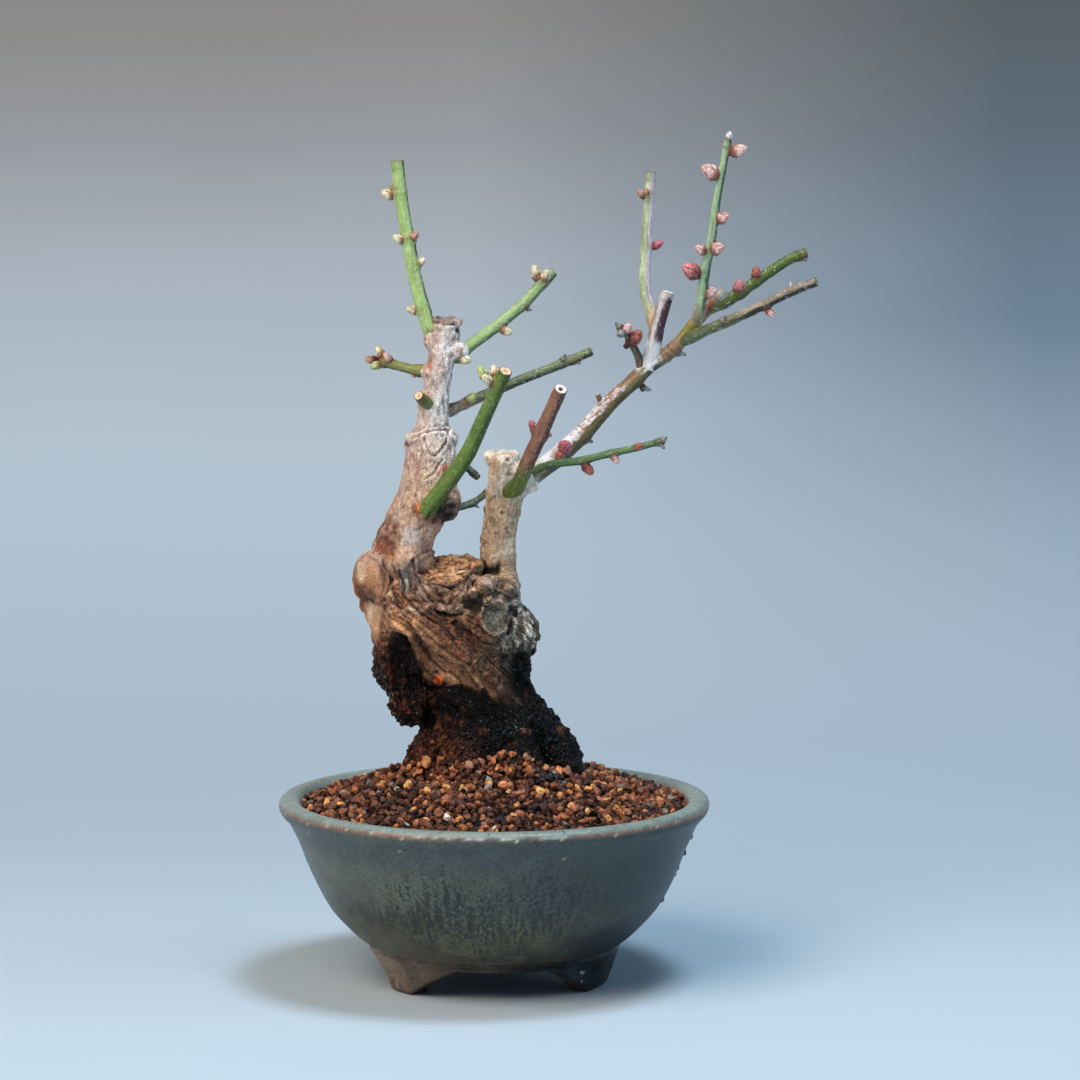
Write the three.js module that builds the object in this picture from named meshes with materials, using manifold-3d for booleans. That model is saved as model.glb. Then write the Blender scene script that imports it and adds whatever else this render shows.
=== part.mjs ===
// Japanese apricot bonsai: an old twisted trunk with budding winter shoots, in a round glazed pot with three
// bracket feet. Millimetres, +Z up. The shapes are laid out round the pot's axis with the ground at zero, and
// the finished group is shifted so that its origin is the middle of the bottom of its box.
import * as THREE from "three";
import { mergeVertices } from "three/addons/utils/BufferGeometryUtils.js";
import Module from "manifold-3d";

const wasm = await Module();
wasm.setup();

// Driving dimensions
const RIM_RADIUS = 65.5;
const POT_HEIGHT = 56.5;
const FOOT_HEIGHT = 10;
const DRAIN_RADIUS = 6;
const FLOOR_UNDER = 11;
const FLOOR_TOP = 15;
const SOIL_TOP = 64.5;
const SOIL_EDGE = 53.5;
const CLEARANCE = 0.35;

// Pot
const POT_SEGMENTS = 40;
const FOOT_OUTER_BOTTOM = 34.5;
const FOOT_OUTER_TOP = 38;
const FOOT_INNER = 27.5;
const FOOT_BLEND = 3.5;
const FLARE_POWER = 1.15;
const FOOT_INNER_SLOPE = 0.25;

// Soil
const SOIL_GRID = 36;
const SOIL_GRID_SIZE = 124;
const SOIL_BOTTOM = 10;
const SOIL_LEVEL_RADIUS = 22;
const SOIL_EDGE_RADIUS = 66;
const GRAIN_SHIFT = 1.1;
const GRAIN_CREST = 1;
const GRAIN_CREST_SPREAD = 1.35;
const GRAIN_VALLEY = -1.45;
const GRAIN_SIDE = -0.7;
const GRAIN_SIDE_SPREAD = 0.9;
const GRAIN_SEED = 11;

// Drain mesh
const MESH_SIZE = 26;
const MESH_THICKNESS = 1;
const MESH_HOLES = 4;
const MESH_BAR = 1.6;

// Old trunk: helical ridges in the bark
const RIDGE_TWIST = 0.042;
const RIDGE_COUNT = 7;
const RIDGE_DEPTH = 0.045;
const FINE_RIDGE_COUNT = 11;
const FINE_RIDGE_DEPTH = 0.02;
const TRUNK_RINGS = 17;
const TRUNK_SIDES = 26;
const LIMB_KNOT_DEPTH = 0.03;

// Outline of the outer face of the pot from the foot ring to the lip, as radius and height.
const POT_OUTER = [
  [31, 9.6],
  [36.2, 9.6],
  [40.5, 13.3],
  [45.6, 18.3],
  [50.1, 23.2],
  [54.4, 31.3],
  [59.5, 43.6],
  [62.8, 50.2],
  [64.7, 51.9],
  [RIM_RADIUS, 54.4],
  [64.7, POT_HEIGHT - 0.4],
];

// The same wall's inner face from the lip down to the floor.
const POT_INNER = [
  [62.5, POT_HEIGHT],
  [59.6, POT_HEIGHT - 0.4],
  [58.2, 53.5],
  [53.6, 42],
  [47.6, 28],
  [39, 17.5],
  [33, FLOOR_TOP],
];

// Feet: middle angle in degrees and the two flanks, left and right. A flank's half angle goes from its bottom
// value to its top value, and a flared one opens evenly while a steep one opens only near the ring.
const FEET = [
  {
    angle: -51.65,
    left: { bottom: 10.5, top: 27, flared: false },
    right: { bottom: 5, top: 36, flared: true },
  },
  {
    angle: 68.35,
    left: { bottom: 13, top: 44, flared: true },
    right: { bottom: 12, top: 27, flared: false },
  },
  {
    angle: 188.35,
    left: { bottom: 10, top: 36, flared: true },
    right: { bottom: 10, top: 36, flared: true },
  },
];

// Old trunk: height, middle and half widths across and in depth of each level.
const TRUNK_LEVELS = [
  { z: 50, x: -1, y: 0, across: 17, deep: 16 },
  { z: 58, x: -1, y: 0, across: 20.5, deep: 18.5 },
  { z: 66, x: -1.5, y: 0, across: 21.5, deep: 19 },
  { z: 75, x: -1, y: 0, across: 17.8, deep: 16.5 },
  { z: 84, x: -3, y: 0, across: 15, deep: 15.5 },
  { z: 92, x: -7, y: 0, across: 17, deep: 16.5 },
  { z: 98, x: -10.5, y: 0, across: 21, deep: 18.5 },
  { z: 104, x: -12.5, y: 0, across: 24.3, deep: 19.5 },
  { z: 110, x: -13, y: 0, across: 24.3, deep: 19.5 },
  { z: 116, x: -16, y: 0, across: 23.3, deep: 18.5 },
  { z: 121, x: -18.5, y: 1, across: 22, deep: 16 },
  { z: 125, x: -19, y: 2, across: 17, deep: 12 },
  { z: 127, x: -20, y: 3, across: 10, deep: 7 },
];

// Rounded lumps of the old trunk: middle and half sizes.
const TRUNK_LUMPS = [
  { at: [-35, -4, 124], half: [7.4, 7.5, 8] }, // left shoulder knob
  { at: [-28.4, -5, 97], half: [8.2, 8, 10] }, // hanging dark lobe, upper half
  { at: [-24.3, -6, 86.6], half: [7.4, 7, 8] }, // hanging dark lobe, lower half
  { at: [5.5, -9, 105], half: [6.8, 7.5, 7] }, // right burl
  { at: [16, -16, 63.5], half: [5.6, 5.4, 4.8] }, // root lump on the soil
  { at: [0.5, 0, 119], half: [6.8, 8.5, 8] }, // shoulder under the right trunk
  { at: [-20, 13, 106], half: [10, 9, 13] }, // swelling behind
  { at: [-21, -13, 112], half: [8, 6.5, 10] }, // front swelling
];

// Roots, leaders and other round limbs of the old wood: middle line and radius at each of its points.
const TRUNK_LIMBS = [
  // Left leader
  {
    path: [[-24, 1, 114], [-27.5, 0, 131.5], [-25.3, 0, 138], [-21.7, 0, 145], [-19.3, 0, 153], [-19, 0, 160.5],
      [-18.9, 0, 165], [-18.6, 0, 168], [-18, 0, 175.5], [-17, 0, 182], [-15.8, 0, 188.5], [-14.6, 0, 194],
      [-14, 0, 201.5]],
    radii: [12, 9, 8, 8.2, 8.2, 7.5, 6.9, 4.9, 4.3, 4, 3.9, 3.9, 3.8],
    sides: 11,
    rings: 15,
  },
  // Right trunk
  {
    path: [[-1, 2, 112], [1, 2, 119], [1.4, 2, 128], [1.3, 1, 134], [2.1, 0, 141], [3.3, 0, 149], [3.4, -1, 156],
      [2.8, -2, 161]],
    radii: [7, 6, 5, 5, 5.1, 5.4, 5, 4.3],
    sides: 10,
    rings: 7,
  },
  // Stump
  {
    path: [[-13, 1, 110], [-13.6, -1.5, 119], [-14.4, -4.2, 126.8]],
    radii: [12, 11, 10.3],
    sides: 14,
    rings: 2,
  },
  // Front cut scar
  {
    path: [[-3, -8, 112], [-1, -19.8, 111.3]],
    radii: [5.4, 5],
    sides: 10,
    rings: 1,
  },
  // Right root
  {
    path: [[2, -3, 94], [8, -4, 84.5], [14.5, -5, 77], [19.5, -6, 69.5], [24, -7, 58]],
    radii: [6.5, 6.3, 6.3, 6.3, 4.6],
    sides: 9,
    rings: 5,
  },
  // Left root
  {
    path: [[-9, -3, 87], [-16, -5, 77], [-21.5, -7, 68], [-26.5, -8, 58]],
    radii: [6.5, 6, 5.6, 4.4],
    sides: 8,
    rings: 4,
  },
  // Front root
  {
    path: [[-6, -9, 84], [-7, -12.5, 75], [-8, -15.5, 66], [-9, -18.5, 57]],
    radii: [6, 6, 6, 4.5],
    sides: 8,
    rings: 3,
  },
  // Front right root
  {
    path: [[3, -9, 86], [6, -12.5, 76], [10, -15.5, 66], [13, -18, 57]],
    radii: [6, 6, 6, 4.5],
    sides: 8,
    rings: 3,
  },
  // Back root
  {
    path: [[2, 9, 86], [5, 13, 76], [8, 17, 66], [11, 21, 57]],
    radii: [6, 5.6, 5.4, 4],
    sides: 8,
    rings: 3,
  },
  // Back left root
  {
    path: [[-9, 8, 84], [-13, 12, 75], [-17, 16, 66], [-21, 20, 57]],
    radii: [6, 5.4, 5.2, 4],
    sides: 8,
    rings: 3,
  },
];

// Stems with their buds. Each has a middle line, the radius at its two ends, and the middles of its buds with
// their length and width. A stem starts inside the piece that it grows from, its parent.
const STEMS = [
  {
    name: "branch_right",
    parent: "trunk",
    path: [[6.4, 2.2, 148.6], [10.9, 1, 153.4], [19.3, 0.5, 159.8], [27.5, 1, 167.5], [35, 2, 176], [41.6, 3, 182],
      [47, 4, 187], [51.6, 4, 190], [55.5, 4, 193.6], [62, 4, 201.4], [69.8, 4, 209.5]],
    radii: [3.1, 1.7],
    forks: [{ path: [[46, 4, 186], [47.8, 4, 191.5], [49.4, 3, 199.5], [52.3, 2, 209.3]], radii: [2.5, 2.0] }],
    buds: [
      { at: [21.4, -2.5, 163], size: [6, 4.6] },
      { at: [19.9, -3, 160.4], size: [3.4, 3] },
      { at: [31.9, 1, 176.4], size: [5.4, 2.2] },
      { at: [29.1, 1, 164.4], size: [3.2, 1.8] },
      { at: [46.4, 4.5, 179.9], size: [4, 2] },
      { at: [57, 4, 190.5], size: [3.6, 2] },
    ],
    color: 0x8f8172,
  },
  {
    name: "shoot_left_top",
    parent: "trunk",
    path: [[-15.5, 0, 194], [-19.3, 0, 198.5], [-21, 0, 204], [-23.8, 0, 214.5], [-25.6, 0, 225],
      [-27.6, 0, 237], [-28.8, 0, 248.6]],
    radii: [2.2, 1.9],
    buds: [
      { at: [-31.6, 0, 238.6], size: [4.4, 3] },
      { at: [-28.4, -1.5, 225.3], size: [4.2, 2.8] },
      { at: [-23.9, -1.5, 226], size: [4, 2.8] },
      { at: [-22, 0, 218.3], size: [3.8, 2.7] },
      { at: [-24.4, 0, 204], size: [4, 2.8] },
      { at: [-30, 0.5, 240.2], size: [2.8, 2], flat: true },
    ],
    color: 0x7d9a4a,
  },
  {
    name: "shoot_left_upper_right",
    parent: "trunk",
    path: [[-15, 0, 189], [-10.7, 0, 190.6], [-7, 1, 193.4], [1, 2, 199.2], [9, 4, 205.8], [14, 5, 211.1],
      [17.9, 6, 215.2]],
    radii: [1.9, 1.6],
    buds: [
      { at: [12.6, 4, 214.9], size: [5.2, 3.1] },
      { at: [15.6, 3, 214.2], size: [4.8, 3] },
      { at: [3.8, 1, 197.6], size: [4, 2.8] },
      { at: [-8.8, -1.5, 189.3], size: [4.6, 3.2] },
    ],
    color: 0x7d9a4a,
  },
  {
    name: "shoot_left_side",
    parent: "trunk",
    path: [[-17, 0, 185], [-20.5, 1, 185.6], [-24.6, 2, 186.1], [-29.8, 4, 187.2], [-34, 6, 188.2]],
    radii: [1.6, 1.3],
    buds: [
      { at: [-34.4, 5.5, 191], size: [4.4, 2.8] },
      { at: [-35.6, 4, 187], size: [4, 2.6] },
      { at: [-37, 7, 188.6], size: [4.2, 2.8] },
      { at: [-32, 3, 189.6], size: [3.8, 2.6] },
    ],
    color: 0x87963f,
  },
  {
    name: "stub_left",
    parent: "trunk",
    path: [[-17.5, -1, 175], [-20, -3.5, 176.3], [-22.4, -7.5, 178.8]],
    radii: [1.8, 1.5],
    buds: [],
    color: 0x8c8a4c,
  },
  {
    name: "shoot_left_back",
    parent: "trunk",
    path: [[-17.5, 1, 172.4], [-14.4, 3, 173.2], [-7.3, 7, 176], [1.8, 12, 179.7], [11, 16, 183.2],
      [20, 20, 186.4], [29.6, 23, 190.3]],
    radii: [1.7, 1.4],
    buds: [
      { at: [-7, 4.6, 177.2], size: [4.4, 3] },
      { at: [21.4, 19, 189], size: [3, 1.8] },
      { at: [25.6, 21, 187], size: [3, 1.8] },
    ],
    color: 0x77824a,
  },
  {
    name: "shoot_left_front",
    parent: "trunk",
    path: [[-21, -2, 143.8], [-19.4, -8, 145.6], [-14.2, -14, 152.6], [-7.8, -20, 162], [-2.8, -27, 173],
      [1.3, -33, 182.2], [3.9, -37, 188]],
    radii: [2.7, 2],
    buds: [
      { at: [-2.8, -32, 187], size: [4.8, 3] },
      { at: [-1.4, -35.5, 185.2], size: [4.6, 2.9] },
      { at: [0.6, -31, 187.4], size: [4.2, 2.8] },
      { at: [-14.2, -15.5, 157.4], size: [3, 2] },
    ],
    color: 0x6f9238,
  },
  {
    name: "twig_back_upper",
    parent: "trunk",
    path: [[-19, 2, 160.4], [-13.8, 6.5, 160.4], [-8.6, 9, 156], [-5, 11, 152.4]],
    radii: [1.3, 1],
    buds: [
      { at: [-5, 9.6, 153.4], size: [2.4, 2] },
    ],
    color: 0x66684a,
  },
  {
    name: "twig_back_lower",
    parent: "trunk",
    path: [[-21, 2, 143.8], [-14.5, 6, 143.4], [-9.8, 8.5, 144], [-6.2, 10.2, 145.2], [-2.9, 11.9, 147.2]],
    radii: [1.3, 1],
    buds: [
      { at: [-2.2, 12, 148.2], size: [2.8, 2.2] },
      { at: [-5.2, 10.2, 143.8], size: [2.4, 1.4] },
    ],
    color: 0x66684a,
  },
  {
    name: "shoot_right_front",
    parent: "trunk",
    path: [[4, -3.4, 149.4], [6.9, -8, 151.6], [9.9, -14, 158.6], [14.2, -21, 168.6], [17.8, -27, 177],
      [20, -31.5, 182.4]],
    radii: [2.4, 2],
    buds: [
      { at: [12, -19.5, 170.2], size: [4.6, 3.2] },
      { at: [16.2, -21, 168], size: [2.6, 1.8] },
    ],
    color: 0x6b4a3e,
  },
  {
    name: "shoot_right_side",
    parent: "branch_right",
    path: [[11.4, -0.5, 154.2], [13.4, -5.5, 156.6], [17.5, -10, 158.4], [25.8, -14, 159.8], [34.7, -17, 162.2],
      [43.5, -20, 164.4], [50.4, -22, 166.5]],
    radii: [1.3, 0.95],
    buds: [
      { at: [28.2, -15, 157.4], size: [4.4, 3] },
      { at: [36.3, -18, 160.6], size: [3.6, 2.4] },
      { at: [43, -21.2, 164.6], size: [3.4, 2.4] },
      { at: [50.9, -23, 167.2], size: [2.6, 1.7] },
      { at: [50.2, -22.2, 164.6], size: [3, 1.7] },
    ],
    color: 0x7c9442,
  },
  {
    name: "spur_right",
    parent: "branch_right",
    path: [[44.5, 3.4, 184.8], [43.6, 2.5, 189.5], [41.8, 0, 193.2], [39.6, -2.8, 197],
      [37.6, -4.6, 199.2]],
    radii: [1.3, 1],
    buds: [
      { at: [42.3, -1.5, 195.8], size: [6, 4] },
      { at: [39.9, -4.6, 198.7], size: [4.6, 3.2] },
      { at: [36.8, -5.3, 200], size: [2.8, 1.8] },
      { at: [37.6, -6.8, 196.9], size: [4, 2.2] },
    ],
    color: 0x7a6a48,
  },
  {
    name: "shoot_right_upright",
    parent: "branch_right",
    path: [[48.8, 4.2, 196.5], [47.8, 7.6, 202.4], [46.2, 9, 207], [45.5, 10, 212.6], [46, 12, 221.6],
      [46.6, 13, 232], [47.5, 14, 245]],
    radii: [1.9, 1.5],
    buds: [
      { at: [44.6, 12, 238.5], size: [3.6, 2.4] },
      { at: [49.5, 11.5, 223.2], size: [4, 2.8] },
      { at: [46.2, 11.8, 239], size: [3, 2], flat: true },
    ],
    color: 0x88857a,
  },
  {
    name: "shoot_right_buds",
    parent: "branch_right",
    path: [[61, 4, 200], [62, -1.5, 205.6], [63.2, -5, 216], [64.9, -8, 225.3], [66.1, -10, 235.6],
      [67.9, -12, 246], [69.4, -13, 255]],
    radii: [1.7, 1],
    buds: [
      { at: [72.6, -13.5, 251.7], size: [5.4, 4.2] },
      { at: [64.2, -12.5, 245.5], size: [6.2, 4.6] },
      { at: [68.2, -10, 231.9], size: [4.6, 4] },
      { at: [61.7, -8.5, 222.4], size: [4.2, 3.4] },
      { at: [66.7, -9, 222.8], size: [5, 4.2] },
      { at: [58.9, -6, 216], size: [6.4, 5] },
      { at: [64.6, -3, 209.4], size: [4.8, 4] },
      { at: [69.8, -13, 256.2], size: [3, 2.2] },
    ],
    color: 0x7b9446,
  },
  {
    name: "shoot_right_green",
    parent: "branch_right",
    path: [[65, 4, 204.2], [71, 5, 207], [76.6, 7, 210.5], [83.3, 9, 215], [89.4, 11, 218.8], [94.6, 12, 220.8]],
    radii: [1.8, 1.5],
    buds: [
      { at: [73.9, 4.5, 211.1], size: [4.4, 3.8] },
      { at: [79.1, 7, 214.9], size: [3.8, 3] },
      { at: [94, 11.2, 218.8], size: [2.6, 2.2] },
    ],
    color: 0x71913c,
  },
  {
    name: "shoot_right_dark",
    parent: "branch_right",
    path: [[56, 4, 194], [62.6, 0, 197.4], [71.3, -4, 201.3], [79.4, -8, 205.3], [88, -12, 209.8],
      [95.8, -15, 213]],
    radii: [1.7, 1.35],
    buds: [
      { at: [82.6, -9, 203.4], size: [3.6, 2.6] },
      { at: [88.3, -12.8, 211.6], size: [2.8, 1.5] },
      { at: [69, -5, 201.8], size: [3, 2], flat: true },
    ],
    color: 0x5a4c3c,
  },
];

const STEM_SIDES = 7;
const RING_SPACING = 8;
const BUD_SIDES = 6;
const SMALL_BUD_SIDES = 5;
const SMALL_BUD_WIDTH = 2.7;
const BUD_NECK = 0.3;
const BUD_SINK = 0.8;
const BUD_LEAN = 0.5;
const SCAR_LEAN = 1.2;

// Outline of a bud above its neck, one unit long and one unit wide: two rows of scales and a blunt tip.
const BUD_OUTLINE = [
  [0.42, 0.08],
  [0.5, 0.4],
  [0.4, 0.64],
  [0.22, 0.9],
  [0, 1],
];

function seededRandom(seed) {
  let state = seed;
  return () => {
    state = (state * 1664525 + 1013904223) % 4294967296;
    return state / 4294967296;
  };
}

function mix(a, b, share) {
  return a + (b - a) * share;
}

// A closed three.js geometry as a solid, turned to face outwards.
function solidFrom(geometry) {
  const bare = new THREE.BufferGeometry();
  bare.setAttribute("position", geometry.getAttribute("position").clone());
  if (geometry.getIndex()) bare.setIndex(geometry.getIndex().clone());
  const merged = mergeVertices(bare, 1e-4);
  const index = merged.getIndex().array;
  const corners = [];
  for (let i = 0; i < index.length; i += 3) {
    const [a, b, c] = [index[i], index[i + 1], index[i + 2]];
    if (a !== b && b !== c && c !== a) corners.push(a, b, c);
  }
  const build = (list) =>
    new wasm.Manifold(
      new wasm.Mesh({
        numProp: 3,
        vertProperties: new Float32Array(merged.getAttribute("position").array),
        triVerts: new Uint32Array(list),
      }),
    );
  const solid = build(corners);
  return solid.volume() < 0 ? build(corners.reverse()) : solid;
}

function joined(solids) {
  return solids.reduce((whole, solid) => whole.add(solid));
}

// The largest body of a solid, so that no loose scrap stays.
function mainBody(solid) {
  return solid.decompose().reduce((best, body) => (body.volume() > best.volume() ? body : best));
}

// Moves each vertex of a geometry by a function of its place.
function reshape(geometry, move) {
  const places = geometry.getAttribute("position");
  const place = new THREE.Vector3();
  for (let i = 0; i < places.count; i++) {
    place.fromBufferAttribute(places, i);
    move(place);
    places.setXYZ(i, place.x, place.y, place.z);
  }
  return geometry;
}

function curveThrough(points) {
  return new THREE.CatmullRomCurve3(
    points.map((point) => new THREE.Vector3(...point)),
    false,
    "centripetal",
  );
}

// A round limb along a curve. radiusAt gives its radius at a share of its length and round its axis, and gap
// makes it larger all over.
function limb(curve, radiusAt, sides, rings, gap = 0) {
  const frames = curve.computeFrenetFrames(rings, false);
  const geometry = new THREE.CylinderGeometry(1, 1, 1, sides, rings);
  reshape(geometry, (place) => {
    const ring = Math.round((place.y + 0.5) * rings);
    const share = ring / rings;
    const reach = Math.hypot(place.x, place.z);
    const angle = Math.atan2(place.x, place.z);
    const radius = reach * (radiusAt(share, angle) + gap);
    const end = ring === 0 ? -gap : ring === rings ? gap : 0;
    place.copy(curve.getPointAt(share));
    place.addScaledVector(frames.normals[ring], radius * Math.cos(angle));
    place.addScaledVector(frames.binormals[ring], radius * Math.sin(angle));
    place.addScaledVector(frames.tangents[ring], end);
  });
  return solidFrom(geometry);
}

// A limb whose radii are given at the points of its path.
function woodLimb({ path, radii, sides, rings }, gap) {
  const curve = curveThrough(path);
  const lengths = curve.getLengths(200);
  const stops = path.map((_, i) => lengths[Math.round((200 * i) / (path.length - 1))] / lengths[200]);
  const radiusAt = (share, angle) => {
    let i = 1;
    while (i < stops.length - 1 && share > stops[i]) i++;
    const part = (share - stops[i - 1]) / (stops[i] - stops[i - 1]);
    const knots = Math.sin(3 * angle + 19 * share) + Math.sin(5 * angle - 31 * share);
    return mix(radii[i - 1], radii[i], part) * (1 + LIMB_KNOT_DEPTH * knots);
  };
  return limb(curve, radiusAt, sides, rings, gap);
}

function lump({ at, half }, gap) {
  const geometry = new THREE.SphereGeometry(1, 10, 6);
  geometry.scale(half[0] + gap, half[1] + gap, half[2] + gap);
  geometry.translate(...at);
  return solidFrom(geometry);
}

// The body of the old trunk, smooth between its levels, with helical ridges of bark.
function trunkBody(gap) {
  const levels = TRUNK_LEVELS.map((level) => new THREE.Vector3(level.x, level.y, level.z));
  const middle = new THREE.CatmullRomCurve3(levels, false, "centripetal");
  const across = new THREE.CatmullRomCurve3(
    TRUNK_LEVELS.map((level) => new THREE.Vector3(level.across, level.deep, level.z)),
    false,
    "centripetal",
  );
  const geometry = new THREE.CylinderGeometry(1, 1, 1, TRUNK_SIDES, TRUNK_RINGS);
  reshape(geometry, (place) => {
    const share = place.y + 0.5;
    const reach = Math.hypot(place.x, place.z);
    const angle = Math.atan2(place.x, place.z);
    const centre = middle.getPoint(share);
    const half = across.getPoint(share);
    const turn = angle + RIDGE_TWIST * centre.z;
    const ridge =
      1 + RIDGE_DEPTH * Math.cos(RIDGE_COUNT * turn) + FINE_RIDGE_DEPTH * Math.cos(FINE_RIDGE_COUNT * turn);
    const end = share < 0.01 ? -gap : share > 0.99 ? gap : 0;
    place.x = centre.x + reach * (half.x * ridge + gap) * Math.cos(angle);
    place.y = centre.y + reach * (half.y * ridge + gap) * Math.sin(angle);
    place.z = centre.z + end;
  });
  return solidFrom(geometry);
}

function oldWood(gap) {
  return joined([
    trunkBody(gap),
    ...TRUNK_LUMPS.map((item) => lump(item, gap)),
    ...TRUNK_LIMBS.map((item) => woodLimb(item, gap)),
  ]);
}

// A bud that starts on the nearest point of its stem's middle line and points out to its own middle, leaning
// towards the stem's tip. A flat one is a scar that hugs the stem.
function bud(curve, { at, size, flat }, gap) {
  const middle = new THREE.Vector3(...at);
  const samples = 80;
  let nearest = 0;
  let least = Infinity;
  for (let i = 0; i <= samples; i++) {
    const distance = curve.getPointAt(i / samples).distanceTo(middle);
    if (distance < least) {
      least = distance;
      nearest = i / samples;
    }
  }
  const lean = curve.getTangentAt(nearest);
  const axis = middle.clone().sub(curve.getPointAt(nearest)).normalize();
  const direction = axis.addScaledVector(lean, flat ? SCAR_LEAN : BUD_LEAN).normalize();
  const start = middle.clone().addScaledVector(direction, -0.5 * size[0]);
  const neck = BUD_SINK * start.distanceTo(curve.getPointAt(nearest));
  const outline = [new THREE.Vector2(0, -neck - gap), new THREE.Vector2(BUD_NECK * size[1] + gap, -neck - gap)];
  BUD_OUTLINE.forEach(([reach, height]) => {
    const tip = height === 1;
    outline.push(new THREE.Vector2(tip ? 0 : reach * size[1] + gap, height * size[0] + (tip ? gap : 0)));
  });
  const sides = size[1] < SMALL_BUD_WIDTH ? SMALL_BUD_SIDES : BUD_SIDES;
  const geometry = new THREE.LatheGeometry(outline, sides);
  geometry.applyQuaternion(new THREE.Quaternion().setFromUnitVectors(new THREE.Vector3(0, 1, 0), direction));
  geometry.translate(start.x, start.y, start.z);
  return solidFrom(geometry);
}

function simpleStem(path, radii, gap) {
  const curve = curveThrough(path);
  const rings = Math.max(3, Math.round(curve.getLength() / RING_SPACING));
  const radiusAt = (share) => mix(radii[0], radii[1], share);
  return { curve, solid: limb(curve, radiusAt, STEM_SIDES, rings, gap) };
}

function stemSolid({ path, radii, forks = [], buds }, gap) {
  const main = simpleStem(path, radii, gap);
  const pieces = [main.solid];
  forks.forEach((fork) => pieces.push(simpleStem(fork.path, fork.radii, gap).solid));
  buds.forEach((item) => pieces.push(bud(main.curve, item, gap)));
  return joined(pieces);
}

// Feet: angular brackets under the foot ring, narrow at the ground and sweeping out to the ring.
function footSpread({ bottom, top, flared }, height) {
  const rise = Math.min(height / FOOT_HEIGHT, 1);
  const share = flared ? rise ** FLARE_POWER : 1 - Math.sqrt(1 - rise * rise);
  return mix(bottom, top, share);
}

function foot({ angle: middleAngle, left, right }) {
  const top = FOOT_HEIGHT + FOOT_BLEND;
  const geometry = new THREE.BoxGeometry(1, 1, 1, 6, 1, 6);
  reshape(geometry, (place) => {
    const height = (place.z + 0.5) * top;
    const flank = place.x < 0 ? left : right;
    const angle = THREE.MathUtils.degToRad(middleAngle + 2 * place.x * footSpread(flank, height));
    const outer = mix(FOOT_OUTER_BOTTOM, FOOT_OUTER_TOP, Math.min(height / FOOT_HEIGHT, 1));
    const radius = place.y > 0 ? outer : FOOT_INNER + FOOT_INNER_SLOPE * height;
    place.set(radius * Math.sin(angle), -radius * Math.cos(angle), height);
  });
  return solidFrom(geometry);
}

function latheSolid(points, segments) {
  const outline = points.map(([radius, height]) => new THREE.Vector2(radius, height));
  const geometry = new THREE.LatheGeometry(outline, segments);
  geometry.rotateX(Math.PI / 2);
  return solidFrom(geometry);
}

function potSolid() {
  const profile = [
    [DRAIN_RADIUS, FLOOR_UNDER],
    [29.5, FLOOR_UNDER],
    ...POT_OUTER,
    ...POT_INNER,
    [DRAIN_RADIUS, FLOOR_TOP],
    [DRAIN_RADIUS, FLOOR_UNDER],
  ];
  return joined([latheSolid(profile, POT_SEGMENTS), ...FEET.map(foot)]);
}

// Top of the soil: a mound that falls from the trunk to the wall, with grains raised on a jittered grid.
function soilHeight(radius) {
  const fall = THREE.MathUtils.smoothstep(radius, SOIL_LEVEL_RADIUS, SOIL_EDGE_RADIUS);
  return mix(SOIL_TOP, SOIL_EDGE, fall);
}

function soilSolid(trunk) {
  const random = seededRandom(GRAIN_SEED);
  const step = SOIL_GRID_SIZE / SOIL_GRID;
  const jitter = new Map();
  const geometry = new THREE.BoxGeometry(SOIL_GRID_SIZE, SOIL_GRID_SIZE, 40, SOIL_GRID, SOIL_GRID, 1);
  reshape(geometry, (place) => {
    if (place.z < 0) {
      place.z = SOIL_BOTTOM;
      return;
    }
    const column = Math.round(place.x / step + SOIL_GRID / 2);
    const row = Math.round(place.y / step + SOIL_GRID / 2);
    const key = column * 1000 + row;
    if (!jitter.has(key)) jitter.set(key, [random(), random(), random()]);
    const [east, north, rise] = jitter.get(key);
    const odd = (column % 2) + (row % 2);
    const crest = GRAIN_CREST + GRAIN_CREST_SPREAD * rise;
    const side = GRAIN_SIDE + GRAIN_SIDE_SPREAD * rise;
    place.x += GRAIN_SHIFT * (east - 0.5);
    place.y += GRAIN_SHIFT * (north - 0.5);
    place.z = soilHeight(Math.hypot(place.x, place.y)) + [crest, side, GRAIN_VALLEY][odd];
  });
  const plug = latheSolid(
    [
      [0, FLOOR_TOP + CLEARANCE],
      ...POT_INNER.slice(2)
        .reverse()
        .map(([radius, height]) => [radius - CLEARANCE, height + CLEARANCE]),
      [POT_INNER[2][0] - CLEARANCE, 2 * POT_HEIGHT],
      [0, 2 * POT_HEIGHT],
    ],
    POT_SEGMENTS,
  );
  const room = MESH_SIZE + 2 * CLEARANCE;
  const meshRoom = new THREE.BoxGeometry(room, room, 2 * (MESH_THICKNESS + 2 * CLEARANCE));
  meshRoom.translate(0, 0, FLOOR_TOP);
  return mainBody(solidFrom(geometry).intersect(plug).subtract(solidFrom(meshRoom)).subtract(trunk));
}

// A flat net over the drain hole: a plate with square holes.
function drainMeshSolid() {
  const pitch = (MESH_SIZE - MESH_BAR) / MESH_HOLES;
  const middle = FLOOR_TOP + CLEARANCE + MESH_THICKNESS / 2;
  const plate = new THREE.BoxGeometry(MESH_SIZE, MESH_SIZE, MESH_THICKNESS);
  plate.translate(0, 0, middle);
  let net = solidFrom(plate);
  for (let i = 0; i < MESH_HOLES; i++) {
    for (let j = 0; j < MESH_HOLES; j++) {
      const hole = new THREE.BoxGeometry(pitch - MESH_BAR, pitch - MESH_BAR, 3 * MESH_THICKNESS);
      hole.translate((i + 0.5 - MESH_HOLES / 2) * pitch, (j + 0.5 - MESH_HOLES / 2) * pitch, middle);
      net = net.subtract(solidFrom(hole));
    }
  }
  return net;
}

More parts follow.
